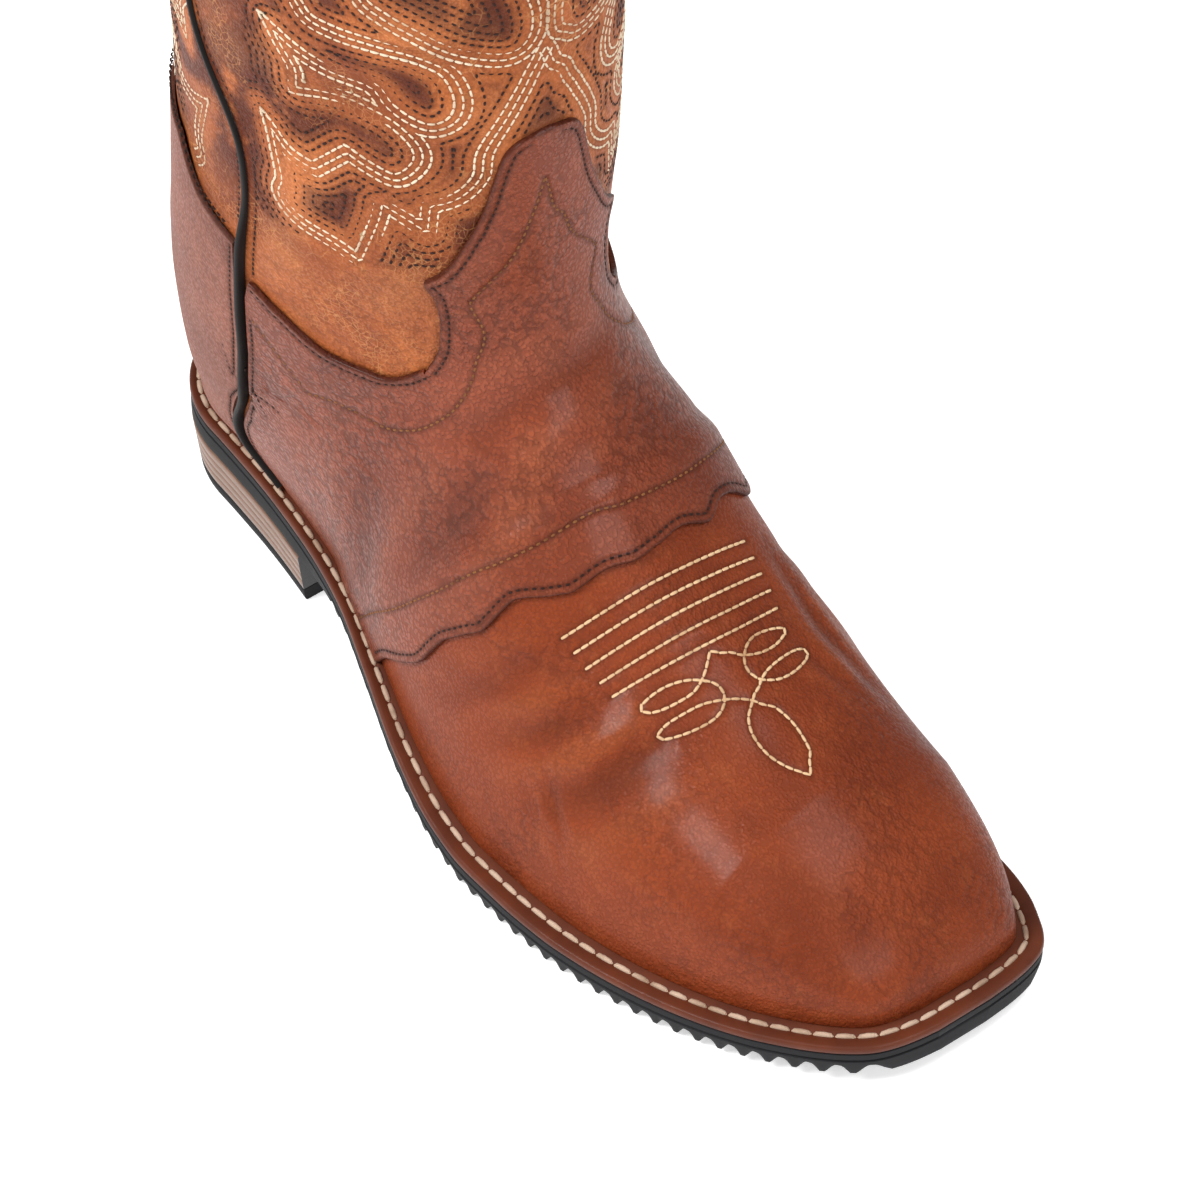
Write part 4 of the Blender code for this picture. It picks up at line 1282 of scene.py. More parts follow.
def leather(name, tones, patch_scale, grain, grain_depth, marks, gloss, coat, distress):
    """Finished hide: patches of tone, pebble grain, painted shade in its valleys, folds, creases and stitch
    grooves, darker cut edges, and a waxed coat.
    """
    base, dark, light = tones
    made, tree, shader = new_material(name)
    at = object_place(tree, (1.0, 0.8, 0.8))
    soft = {"Vector": at, "Scale": grain * 0.35, "Detail": 2.0}
    drift = put(tree, "ShaderNodeTexNoise", None, soft).outputs["Color"]
    pull = vector_math(tree, "SCALE", {0: drift, "Scale": 1.1 / grain})
    bent = vector_math(tree, "ADD", {0: at, 1: pull})
    patches = times(tree, ramp(tree, noise(tree, at, patch_scale, 5.0, 0.6, 0.5), 0.34, 0.72), 0.8)
    fine = noise(tree, at, patch_scale * 6, 6.0, 0.68)
    colour = mixed(tree, patches, base, dark)
    colour = mixed(tree, times(tree, ramp(tree, fine, 0.50, 0.78), 0.40), colour, light)
    far = times(tree, tone(tree, "far"), ramp(tree, noise(tree, at, 75.0, 5.0, 0.65), 0.28, 0.50))
    colour = mixed(tree, times(tree, far, 0.95), colour, darker(dark, 0.55))
    worn = times(tree, tone(tree, "worn"), 0.65, clamp=True)
    colour = mixed(tree, worn, colour, light)
    valley = ramp(tree, cells(tree, bent, grain, 0.35), 0.34, 0.62)
    fold = ramp(tree, cells(tree, bent, grain * 0.42, 0.30), 0.42, 0.66)
    tumbled = times(tree, fold, ramp(tree, noise(tree, at, 34.0, 3.0), 0.38, 0.62))
    shade = times_plus(tree, valley, 0.5, times(tree, tumbled, 0.55))
    # painted shade: the grain's valleys and tumbled folds darkened, as strong as marks
    valley_shade = times(tree, shade, marks, clamp=True)
    colour = mixed(tree, valley_shade, colour, darker(dark, 0.42))
    # painted shade of stitch grooves and creases, with the darker cut edges, from the deep tone
    deep = times(tree, tone(tree, "deep"), 0.85, clamp=True)
    colour = mixed(tree, deep, colour, darker(dark, 0.25))
    height = times_plus(tree, valley, -0.8, times(tree, tumbled, -0.9))
    height = times_plus(tree, noise(tree, at, 170.0, 4.0, 0.6, 0.8), 0.8, height)
    if distress:
        colour, height = distressed(tree, at, bent, colour, height, distress)
    tree.links.new(colour, shader.inputs["Base Color"])
    rough = times_plus(tree, fine, 0.30, gloss - 0.15)
    rough = times_plus(tree, valley, 0.18, rough)
    tree.links.new(times_plus(tree, deep, 0.30, rough), shader.inputs["Roughness"])
    join_bump(tree, shader, height, 0.9, grain_depth)
    set_shader(shader, {"Coat Weight": coat, "Coat Roughness": 0.20, "Specular IOR Level": 0.14})
    return made


def distressed(tree, at, bent, colour, height, amount):
    """Waxed pull-up hide: pale veins where it was bent, and fine pale scuffs."""
    spots = ramp(tree, noise(tree, at, 42.0, 4.0, 0.6), 0.50, 0.68)
    others = ramp(tree, noise(tree, at, 31.0, 4.0, 0.6, 1.0), 0.50, 0.70)
    pale = times(tree, veins(tree, bent, 230.0, 0.045), spots)
    pale = times_plus(tree, times(tree, veins(tree, bent, 640.0, 0.09), others), 0.8, pale)
    pale = times(tree, pale, amount, clamp=True)
    colour = mixed(tree, pale, colour, PALE_SCUFF)
    return colour, times_plus(tree, pale, 0.5, height)


def plain(name, colour, second, rough, bump_scale, bump_depth, coat):
    """An even material with a little unevenness in tone and surface."""
    made, tree, shader = new_material(name)
    at = object_place(tree)
    shade = noise(tree, at, 90.0, 4.0)
    tree.links.new(mixed(tree, shade, colour, second), shader.inputs["Base Color"])
    tree.links.new(times_plus(tree, shade, 0.2, rough - 0.1), shader.inputs["Roughness"])
    join_bump(tree, shader, noise(tree, at, bump_scale, 4.0), 0.6, bump_depth)
    set_shader(shader, {"Coat Weight": coat, "Specular IOR Level": 0.15})
    return made


def even(name, colour, rough, glow):
    made, _, shader = new_material(name)
    set_shader(shader, {"Base Color": (*colour, 1), "Emission Color": (*colour, 1)})
    set_shader(shader, {"Emission Strength": glow, "Roughness": rough, "Specular IOR Level": 0.0})
    return made


def thread_material(name, colour, dirty, twist):
    """Spun thread: slanted strands along each stitch, with some soil."""
    made, tree, shader = new_material(name)
    soil = ramp(tree, noise(tree, object_place(tree), 70.0, 4.0), 0.45, 0.75)
    tree.links.new(mixed(tree, soil, colour, dirty), shader.inputs["Base Color"])
    run = put(tree, "ShaderNodeCombineXYZ", None, {"X": tone(tree, "run")}).outputs["Vector"]
    twisted = {"Vector": run, "Scale": twist}
    strands = put(tree, "ShaderNodeTexWave", {"bands_direction": "X"}, twisted).outputs["Fac"]
    join_bump(tree, shader, strands, 0.7, 0.00012)
    set_shader(shader, {"Roughness": 0.75, "Specular IOR Level": 0.25})
    return made


def stacked_leather():
    """The heel's pressed layers: faint level grain on tan, and a black breast."""
    made, tree, shader = new_material("stacked_heel")
    streaks = noise(tree, object_place(tree, (1.0, 1.0, 9.0)), 160.0, 5.0, 0.7, 0.4)
    colour = mixed(tree, ramp(tree, streaks, 0.35, 0.75), HEEL_TAN, HEEL_BROWN)
    at = put(tree, "ShaderNodeTexCoord").outputs["Object"]
    split = put(tree, "ShaderNodeSeparateXYZ", None, {"Vector": at})
    front = HEEL_MIDDLE - HEEL_LENGTH
    breast = ramp(tree, split.outputs["Y"], front + 0.0004, front + 0.0001)
    tree.links.new(mixed(tree, breast, colour, HEEL_BREAST), shader.inputs["Base Color"])
    join_bump(tree, shader, streaks, 0.5, 0.0002)
    set_shader(shader, {"Roughness": 0.48, "Coat Weight": 0.15})
    return made


# Tones of the heel and of the shaft's scuffs
HEEL_TAN = (0.205, 0.105, 0.062)
HEEL_BROWN = (0.150, 0.075, 0.044)
HEEL_BREAST = (0.022, 0.021, 0.022)
PALE_SCUFF = (0.60, 0.27, 0.10)

# Base, dark and light tone of each hide
HIDE_TONES = {
    "vamp": ((0.245, 0.043, 0.010), (0.150, 0.023, 0.005), (0.340, 0.085, 0.024)),
    "saddle": ((0.250, 0.052, 0.020), (0.120, 0.021, 0.008), (0.350, 0.100, 0.045)),
    "counter": ((0.280, 0.095, 0.060), (0.160, 0.050, 0.032), (0.380, 0.165, 0.115)),
    "shaft": ((0.500, 0.140, 0.036), (0.170, 0.032, 0.012), (0.640, 0.235, 0.080)),
}

# Hides: patch_scale, grain, grain_depth, marks (strength of the painted shade in the grain's valleys and
# folds), gloss, coat, distress
HIDES = {
    "vamp": (22.0, 1250.0, 0.00020, 0.42, 0.40, 0.10, 0.0),
    "saddle": (20.0, 1000.0, 0.00032, 0.55, 0.36, 0.16, 0.0),
    "counter": (24.0, 1400.0, 0.00014, 0.36, 0.50, 0.05, 0.0),
    "shaft": (30.0, 1300.0, 0.00015, 0.38, 0.50, 0.05, 0.65),
}

# Plain looks: name, colour, second colour, rough, bump_scale, bump_depth, coat
PLAINS = {
    "lining": ("lining_leather", (0.42, 0.27, 0.15), (0.3024, 0.1944, 0.108), 0.70, 500.0, 0.0001, 0.0),
    "piping": ("black_cord", (0.005, 0.004, 0.004), (0.012, 0.009, 0.008), 0.55, 900.0, 0.0001, 0.0),
    "welt": ("welt_hide", (0.150, 0.036, 0.014), (0.055, 0.013, 0.007), 0.50, 700.0, 0.00012, 0.06),
    "sole": ("black_rubber_look", (0.010, 0.010, 0.011), (0.018, 0.018, 0.020), 0.66, 600.0, 0.00008, 0.0),
}

# Threads: colour, dirty colour, twist
THREADS = {
    "cream": ((0.83, 0.70, 0.52), (0.55, 0.38, 0.24), 1500.0),
    "beige": ((0.58, 0.42, 0.31), (0.26, 0.15, 0.09), 900.0),
    "peach": ((0.80, 0.54, 0.31), (0.50, 0.28, 0.14), 1500.0),
    "brown": ((0.030, 0.009, 0.005), (0.014, 0.005, 0.003), 1500.0),
    "orange": ((0.260, 0.100, 0.030), (0.110, 0.036, 0.014), 1500.0),
}


def materials():
    """Every look by the piece or thread that wears it."""
    looks = {piece: leather(piece + "_hide", HIDE_TONES[piece], *row) for piece, row in HIDES.items()}
    looks.update({piece: plain(*row) for piece, row in PLAINS.items()})
    looks["heel"] = stacked_leather()
    looks.update({colour: thread_material(colour + "_thread", *row) for colour, row in THREADS.items()})
    return looks


# Distance of the rows from cut edges, and beyond the room that the overlays leave for the piping
STITCH_INSET = 0.0024
COUNTER_INSETS = (0.0022, 0.0044)
OVERLAY_SEAM_INSET = 0.0017
SHAFT_SEAM_INSET = 0.0014


# Rows of stitches on the leather, as sections and places
def saddle_rows():
    """Edge rows round the saddle and its echo rows."""
    scallop = beside(saddle_front(SCALLOP_RUN), SCALLOP_RUN, -STITCH_INSET)
    echo = (smooth(ECHO_LINE["place"], ECHO_LINE["section"], SCALLOP_RUN), SCALLOP_RUN)
    k = np.linspace(SEAM_LINE["section"][0] + 0.6, 11.9, 200)
    seam = beside(k, seam_place(k), SEAM_ROOM + OVERLAY_SEAM_INSET)
    shoulder = shoulder_path(STITCH_INSET)
    inner = np.array(SHOULDER_ECHO).T
    at = np.linspace(0, len(SHOULDER_ECHO) - 1, 220)
    inner = (flowing(inner[0], at), flowing(inner[1], at))
    return {
        "edge": [scallop, shoulder, mirrored(shoulder)],
        "echo": [echo],
        "seam": [seam, other_side(seam)],
        "inner": [inner, mirrored(inner)],
    }


SCALLOP_RUN = np.linspace(0.012, 0.988, 520)
ECHO_LINE = named(SCALLOP_ECHO, SCALLOP_ECHO_COLUMNS)


def shoulder_path(inset):
    """The saddle's top edge from the side seam down to the tongue's foot and up to its tip, moved inwards."""
    away = np.linspace(0.226, TONGUE_SHAPE["half"][0] + 0.004, 90)
    k_low = smooth(SHOULDER_LINE["away"], SHOULDER_LINE["section"], away)
    k_up = np.linspace(10.25, 14.28, 170)
    half = smooth(TONGUE_SHAPE["section"], TONGUE_SHAPE["half"], k_up)
    k = np.concatenate([k_low, k_up])
    v = TONGUE_MIDDLE - np.concatenate([away, half])
    return beside(k, v, inset)


def counter_rows():
    """Two rows inside the counter's top edge and one beside each side seam."""
    lines = []
    corner = COUNTER_LINE["away"][0]
    v = np.linspace(0.004, corner - 0.010, 150)
    for inset in COUNTER_INSETS:
        top = beside(counter_high(v), v, -inset)
        lines += [top, other_side(top)]
    k = np.linspace(SEAM_LINE["section"][0] + 0.9, 12.8, 200)
    seam = beside(k, seam_place(k), -(SEAM_ROOM + OVERLAY_SEAM_INSET))
    return lines + [seam, other_side(seam)]


def shaft_seam_rows():
    """The rows beside the piping above the saddle and the counter."""
    ahead_k = np.linspace(12.55, 15.93, 200)
    ahead = beside(ahead_k, seam_place(ahead_k), SEAM_ROOM + SHAFT_SEAM_INSET)
    behind_k = np.linspace(13.15, 15.93, 200)
    behind = beside(behind_k, seam_place(behind_k), -(SEAM_ROOM + SHAFT_SEAM_INSET))
    return [ahead, other_side(ahead), behind, other_side(behind)]


def toe_rows():
    """Five rows across the toe box, then the running loop."""
    lines = []
    for first_k, first_v, last_k, last_v in TOE_ROWS:
        share = np.linspace(0, 1, 160)
        sag = TOE_SAG * 4 * share * (1 - share)
        lines.append((first_k + (last_k - first_k) * share - sag, first_v + (last_v - first_v) * share))
    return lines, [flowing_path(TOE_LOOP, 6)]


def grooves(lines):
    """A tree of the points along stitch rows, to sink the leather there and paint shade into its grooves."""
    points = np.concatenate([points for points, _ in lines])
    tree = KDTree(len(points))
    for i, point in enumerate(points):
        tree.insert(point, i)
    tree.balance()
    return tree


def near_rows(tree, points, reach=0.0022):
    """Distance from each point to the nearest stitch row, up to `reach`."""
    flat = points.reshape(-1, 3)
    found = np.full(len(flat), reach)
    for i, point in enumerate(flat.tolist()):
        found[i] = min(reach, tree.find(point)[2])
    return found.reshape(points.shape[:-1])


# Shade of the creases and of the rows' grooves, and wear on the ridges, per metre and at most
CREASE_SHADE = 420
CREASE_SHADE_MOST = 0.45
ROW_SHADE_SHARE = 0.80
RIDGE_WEAR = 900
RIDGE_WEAR_MOST = 0.55


def dressed(k, v, under, face, lip_share, tree, edge_dark=None):
    """Outer and inner points of an overlay, with its tones."""
    bend = relief(place(k, v))
    low, high = under(k, v), face(k, v)
    row = near_rows(tree, skin(k, v, high + bend - GROOVE))
    sink = GROOVE * np.exp(-((row / GROOVE_WIDTH) ** 2))
    outer = skin(k, v, low + (high - low) * lip_share + bend - sink)
    inner = skin(k, v, low)
    # deep: painted shade in the stitch grooves and the creases' hollows, and the darker tone of cut edges
    deep = ROW_SHADE_SHARE * np.exp(-((row / ROW_SHADE) ** 2))
    deep = deep + np.clip(-bend * CREASE_SHADE, 0, CREASE_SHADE_MOST)
    if edge_dark is not None:
        deep = np.maximum(deep, edge_dark)
    worn = np.clip(bend * RIDGE_WEAR, 0, RIDGE_WEAR_MOST)
    return (outer, inner), {"deep": deep, "worn": worn}


def joined(parts):
    """Sheets and their tones from several dressed parts."""
    sheets = [sheet for sheet, _ in parts]
    tones = {name: np.concatenate([tones[name].ravel() for _, tones in parts]) for name in parts[0][1]}
    return sheets, tones


# Longest way round each overlay, which spaces its columns
VAMP_GIRTH = 0.235
SADDLE_GIRTH = 0.27
COUNTER_GIRTH = 0.30


def even_places(low, high, spacing, girth):
    return np.linspace(low, high, int(round((high - low) * girth / spacing)) + 1)


def make_vamp(look, tree):
    v = even_places(0, 1, LEATHER_MESH, VAMP_GIRTH)
    k, v, _, _ = columns_between(np.zeros(len(v)), vamp_back(v), v, LEATHER_MESH)
    part = dressed(k, v, vamp_under, vamp_face, 1.0, tree)
    made = shell("vamp_leather_piece", [part[0]], look, part[1])
    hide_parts("vamp")


CUT_SHADE = 0.85
CUT_WIDTH = 0.0009


def cut_edge(distance):
    """The darker tone of a cut edge."""
    return CUT_SHADE * np.exp(-((distance / CUT_WIDTH) ** 2))


# The tongue's drawn rows and columns, and how long one section is near its tip
TONGUE_STEP = 0.024
TONGUE_ACROSS = 66
TONGUE_TIP_FROM = 13.5
TONGUE_SECTION = 0.029

# A distance that counts as far from every cut edge
NO_EDGE = 1.0


def make_saddle(look, tree):
    inner_rows = np.arange(TONGUE_FOOT + 0.04, TONGUE_TIP, TONGUE_STEP)
    rows = np.concatenate([[TONGUE_FOOT], inner_rows, [TONGUE_TIP]])
    half = smooth(TONGUE_SHAPE["section"], TONGUE_SHAPE["half"], rows)
    share = crowded(-1, 1, TONGUE_ACROSS)
    k, side = np.meshgrid(rows, share, indexing="ij")
    v = TONGUE_MIDDLE + side * half[:, None]
    girth = np.linalg.norm(np.diff(place(k, v), axis=1), axis=2).sum(1)
    edge_gap = (1 - np.abs(side)) * girth[:, None] / 2
    tip = (TONGUE_TIP - k) * TONGUE_SECTION
    gap = np.minimum(edge_gap, np.where(k > TONGUE_TIP_FROM, tip, NO_EDGE))
    gap = np.where(k <= SHOULDER_LINE["section"][0] + 0.02, NO_EDGE, gap)
    tongue = dressed(k, v, saddle_under, saddle_face, lip(gap), tree, cut_edge(gap))
    foot = v[0]
    left = even_places(0, foot[0], LEATHER_MESH, SADDLE_GIRTH)[:-1]
    right = even_places(foot[-1], 1, LEATHER_MESH, SADDLE_GIRTH)[1:]
    columns = np.concatenate([left, foot, right])
    k, v, low_gap, high_gap = columns_between(
        saddle_front(columns), saddle_back(columns), columns, LEATHER_MESH, LIP_MARKS
    )
    high_gap = np.where(np.abs(v - TONGUE_MIDDLE) <= TONGUE_SHAPE["half"][0] + 1e-6, NO_EDGE, high_gap)
    gap = np.minimum(low_gap, high_gap)
    main = dressed(k, v, saddle_under, saddle_face, lip(gap), tree, cut_edge(gap))
    sheets, tones = joined([main, tongue])
    made = shell("saddle_leather_piece", sheets, look, tones)
    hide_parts("saddle")


def crowded(low, high, count):
    """Even shares with a few crowded at both ends."""
    ends = np.array((0.0, 0.003, 0.010, 0.022))
    middle = np.linspace(0.036, 0.964, count)
    return low + (high - low) * np.concatenate([ends, middle, 1 - ends[::-1]])


def make_counter(look, tree):
    corner = COUNTER_LINE["away"][0]
    side = even_places(0, corner, LEATHER_MESH, COUNTER_GIRTH)
    parts = []
    seam_rows = None
    for columns in (side, 1 - side[::-1]):
        k, v, low_gap, high_gap = columns_between(
            counter_low(columns), counter_high(columns), columns, LEATHER_MESH, LIP_MARKS
        )
        if seam_rows is None:
            seam_rows = k[:, 0]
        else:
            k[:, -1] = np.interp(np.linspace(0, 1, len(k)), np.linspace(0, 1, len(seam_rows)), seam_rows)
        gap = np.where(k <= HEEL_SECTION + 0.2, NO_EDGE, high_gap)
        face = dressed(k, v, vamp_under, vamp_face, lip(gap), tree, cut_edge(gap))
        parts.append(face)
    sheets, tones = joined(parts)
    made = shell("counter_leather_piece", sheets, look, tones)
    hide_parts("counter")


# The collar's turned edge: how far in from the face, and how far up, ring by ring
COLLAR_TURN = ((-0.0003, 0.0003), (-0.0007, 0.0004), (-0.0011, 0.0003), (-0.0011, -0.002))

# The shaft's hide starts out of sight under the saddle
HIDDEN_FROM = 6.4
HIDDEN_ROWS = 18
HIDDEN_DEPTH = 0.0008

# How far from the bands, and between which heights, the hide darkens
BAND_CLEARING = (0.0030, 0.0070)
BAND_REACH = 0.012
DARK_HEIGHTS = (0.150, 0.176)


def make_shaft(look, tree, bands):
    """The shaft's outer leather, from under the saddle to the collar, where it turns over the lining."""
    v = even_places(0, 1, SHAFT_MESH, GIRTH)
    low, high = np.full(len(v), SHAFT_START), np.full(len(v), float(LAST_SECTION))
    k, places, _, top = columns_between(low, high, v, SHAFT_MESH)
    hidden = np.linspace(HIDDEN_FROM, SHAFT_START, HIDDEN_ROWS)[:-1, None] + 0 * v[None]
    k = np.concatenate([hidden, k])
    places = np.concatenate([0 * hidden + v[None], places])
    top = np.concatenate([np.ones(hidden.shape), top])
    bare = place(k, places)
    bend = relief(bare) + slouch(bare)
    row = near_rows(tree, bare)
    sink = GROOVE * np.exp(-((row / GROOVE_WIDTH) ** 2))
    outer = skin(k, places, bend - sink)
    turned = [outer]
    for depth, rise in COLLAR_TURN:
        ring = skin(k[-1:], v[None], depth + bend[-1:])
        ring[..., 2] += rise
        turned.append(ring)
    points = np.concatenate(turned)
    inner_edge_row = skin(k[:1], v[None], -HIDDEN_DEPTH)
    points = np.concatenate([inner_edge_row, points])
    # deep: painted shade in the stitch grooves and the creases' hollows
    deep = 0.7 * np.exp(-((row / ROW_SHADE) ** 2)) + np.clip(bend * -260, 0, 0.35)
    worn = np.clip(bend * 500, 0, 0.45) + 0.25 * np.exp(-((top / 0.004) ** 2))
    extra = len(points) - len(k)

    def to_edges(values, last=1):
        return np.concatenate([values[:1], values, np.repeat(values[-1:] * last, extra - 1, 0)])

    off_band = soft_step(*BAND_CLEARING, near_rows(bands, bare, BAND_REACH))
    far = off_band * soft_step(*DARK_HEIGHTS, bare[..., 2])
    tones = {"far": to_edges(far), "deep": to_edges(deep, 0), "worn": to_edges(worn)}
    made = sheet("shaft_leather_piece", points, look, tones)
    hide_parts("upper")


def slouch(points):
    """Broad soft unevenness of a worn shaft, in metres."""
    x, y, z = points[..., 0], points[..., 1], points[..., 2]
    wave = np.sin(z * 58 + 3.1 * np.sin(x * 41 + 1.3)) * np.sin(y * 47 + x * 23 + 0.7)
    small = np.sin(z * 121 + y * 60) * np.sin(x * 133 - z * 31)
    fade = soft_step(0.125, 0.16, z)
    return fade * (0.00045 * wave + 0.00016 * small)


def sheet(name, points, look, tones):
    """An open grid of points, welded where its ends meet."""
    faces = np.stack(grid_corners(*points.shape[:2]), -1).reshape(-1, 4)
    flat = points.reshape(-1, 3)
    _, first, weld = np.unique(np.round(flat * WELD), axis=0, return_index=True, return_inverse=True)
    clean = [list(dict.fromkeys(face)) for face in weld.reshape(-1)[faces].tolist()]
    kept = {key: values.reshape(-1)[first] for key, values in tones.items()}
    return mesh_object(name, flat[first], [face for face in clean if len(face) > 2], look, kept)


def make_lining(look):
    """The inside of the whole boot."""
    k = np.concatenate([np.linspace(0, 9.5, 44), np.linspace(9.7, LAST_SECTION, 50)])[:, None]
    v = np.linspace(0, 1, 100)[None]
    outer = skin(k, v, -0.00115 + slouch(place(k, v)))
    inner = skin(k, v, -WALL + slouch(place(k, v)))
    outer[-1, :, 2] += 0.0001
    made = shell("shaft_lining", [(outer, inner)], look)


# Sections of the cord: its two ends, and where the overlays beside it end
CORD_LOW = 7.10
CORD_HIGH = 15.97
CORD_OPEN = 12.9
CORD_CLEAR = 13.6
CORD_SOFT = 40


def make_piping(name, mirror, look):
    """A rounded cord let into a side seam."""
    k = np.concatenate([np.linspace(CORD_LOW, 9.4, 60), np.linspace(9.5, CORD_HIGH, 170)])
    v = 1 - seam_place(k) if mirror else seam_place(k)
    base = place(k, v)
    centre = base + normal_at(k, v) * (relief(base) + np.where(k > CORD_OPEN, slouch(base), 0))[:, None]
    centre = softened(centre, CORD_SOFT)
    normal = normal_at(k, v)
    run = unit(np.gradient(centre, axis=0))
    wide = np.cross(run, normal)
    proud = SKIN_GAP + SEAM_PROUD + (OVERLAY + SKIN_GAP) * (1 - soft_step(CORD_OPEN, CORD_CLEAR, k))
    angles = np.linspace(0, math.pi, 9)
    loops = []
    for i in range(len(k)):
        loop = []
        for angle in angles:
            height = SKIN_GAP + (proud[i] - SKIN_GAP) * min(1.0, 1.15 * math.sin(angle) ** 0.7)
            point = centre[i] - wide[i] * math.cos(angle) * SEAM_WIDTH * CORD_SHARE + normal[i] * height
            point[2] = max(point[2], welt_top(HEEL_MIDDLE - point[1]) + GAP)
            loop.append(tuple(point))
        loops.append(loop)
    made = stack(name + "_cord", loops, look)
    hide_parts(name)


def rim_loop(inset, up, steps=360):
    """A loop round the sole's edge moved in by `inset`, at the height up(along)."""
    sides = {side: inner_edge(side, inset) for side in ("lateral", "medial")}
    back = max(line[0][0] for line in sides.values())
    front = min(line[0][-1] for line in sides.values())
    along = back + (front - back) * (1 - np.cos(np.linspace(0, math.pi, steps + 1))) / 2
    lateral = np.interp(along, *sides["lateral"])
    medial = np.interp(along, *sides["medial"])
    left = np.stack([-lateral, HEEL_MIDDLE - along, up(along)], -1)
    right = np.stack([medial, HEEL_MIDDLE - along, up(along)], -1)
    return np.concatenate([left, right[:0:-1]])


def welt_inside(along):
    return upper_inset(along) + WALL + GAP


WELT_ROW = 0.62


def welt_row(along):
    """How far in from the welt's edge its stitches lie."""
    return feather(along) * WELT_ROW


# The channel of the welt's stitches: how far aside of them, and how deep
WELT_CHANNEL = ((-0.0011, 0.0), (-0.0005, -0.0004), (0.0, -0.0006), (0.0005, -0.0004), (0.0011, 0.0))

# The welt's rounded edge from its foot to its top: inset, and height against its top
WELT_PROFILE = (
    (0.0007, -0.0025),
    (0.0002, -0.0023),
    (0.0000, -0.0018),
    (0.0000, -0.0010),
    (0.0002, -0.0004),
    (0.0005, -0.0001),
    (0.0009, 0.0),
)


def make_welt(look):
    """The leather ring with rounded edges and a channel for its stitches."""
    loops = [rim_loop(inset, lambda t, d=drop: welt_top(t) + d) for inset, drop in WELT_PROFILE]
    for aside, drop in WELT_CHANNEL:
        loops.append(rim_loop(lambda t, a=aside: welt_row(t) + a, lambda t, d=drop: welt_top(t) + d))
    loops.append(rim_loop(welt_inside, welt_top))
    loops.append(rim_loop(welt_inside, lambda t: welt_top(t) - WELT))
    made = stack("welt_ring", loops, look, closed=True)
    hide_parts("welt")


def welt_stitches(look):
    loop = rim_loop(welt_row, lambda t: welt_top(t) - 0.0002, 500)
    loop = np.concatenate([loop, loop[:1]])
    lines = [(loop, np.tile((0.0, 0.0, 1.0), (len(loop), 1)))]
    rows_of_stitches("welt_thread", lines, look, **WELT_STITCH)


def rib_depth(along):
    """How deep the tread is cut between its ribs."""
    lugs = int((LUG_LAST - LUG_FIRST) / LUG_PITCH)
    phase = ((along - LUG_FIRST) / LUG_PITCH) % 1.0
    flat = LUG_FLAT / LUG_PITCH
    dip = np.clip((phase - flat) / (1 - flat), 0, 1)
    cut = 1 - np.abs(2 * dip - 1) ** 1.25
    inside = (along > LUG_FIRST) & (along < LUG_FIRST + lugs * LUG_PITCH)
    return LUG_DEPTH * np.where(inside, cut, 0)


# The outsole's side from its top down: inset past the step, drop below the top, share of the undercut
SOLE_SIDE = (
    (0.0002, 0.0, 0.0),
    (0.0, 0.0002, 0.0),
    (0.0, 0.0019, 0.0),
    (0.0005, 0.0022, 0.0),
    (0.0005, 0.0026, 0.0),
    (0.0, 0.0029, 0.0),
    (0.0, 0.0036, 0.10),
    (0.0, 0.0050, 0.40),
    (0.0, 0.0066, 0.75),
    (0.0002, 0.0078, 0.95),
    (0.0008, 0.0082, 1.0),
)


def make_sole(look):
    """The outsole: cross sections from edge to edge, with ribs and the light line under its top."""
    heel = LUG_FIRST * (1 - np.cos(np.linspace(0, math.pi / 2, 60)))
    middle = np.arange(LUG_FIRST, LUG_LAST, LUG_PITCH / 12)
    front = LUG_LAST + (LENGTH - SIDE_STEP - LUG_LAST) * np.sin(np.linspace(0, math.pi / 2, 30))
    along = np.concatenate([np.maximum(heel[:-1], SIDE_STEP), middle, front])
    along = along[np.concatenate([[True], np.diff(along) > 1e-6])]
    top = welt_top(along) - WELT - GAP
    under = LUG_UNDERCUT * soft_step(HEEL_LENGTH, LUG_FIRST, along)
    depth = rib_depth(along)
    sides = {"lateral": [], "medial": []}
    for inset, drop, share in SOLE_SIDE:
        whole = SIDE_STEP + inset
        reach = whole + (along - SIDE_STEP) * (LENGTH - 2 * whole) / (LENGTH - 2 * SIDE_STEP)
        lift = np.clip((drop - (OUTSOLE - LUG_DEPTH)) / LUG_DEPTH, 0, 1) * depth
        for side, sign in (("lateral", -1), ("medial", 1)):
            width = np.interp(reach, *inner_edge(side, whole)) - under * share
            y = HEEL_MIDDLE - reach
            sides[side].append(np.stack([sign * np.maximum(width, 0.001), y, top - drop + lift], -1))
    rings = sides["lateral"][::-1] + sides["medial"]
    loops = np.stack(rings, 1)
    made = stack("ribbed_sole", list(loops), look, sharp=35)
    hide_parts("outsole")


def heel_loop(inset, up, steps=70):
    """A D-shaped loop: the sole's edge back to the heel's breast."""
    sides = {side: inner_edge(side, inset) for side in ("lateral", "medial")}
    back = max(line[0][0] for line in sides.values())
    along = back + (HEEL_LENGTH - back) * (1 - np.cos(np.linspace(0, math.pi / 2, steps + 1)))
    level = np.full(len(along), up)
    left = np.stack([-np.interp(along, *sides["lateral"]), HEEL_MIDDLE - along, level], -1)
    right = np.stack([np.interp(along, *sides["medial"]), HEEL_MIDDLE - along, level], -1)
    return np.concatenate([left, right[:0:-1]])


def taper(up):
    return SIDE_STEP + HEEL_TAPER * (1 - up / HEEL_LIFT)


HEEL_LAYERS = 4
LAYER_CUT = 0.00022

# The top lift's side: height, then how far it is rounded in
LIFT_SIDE = ((0.0, 0.0006), (0.0005, 0.0001), (0.0012, 0.0), (CAP - 0.0003, 0.0), (CAP, 0.0003))


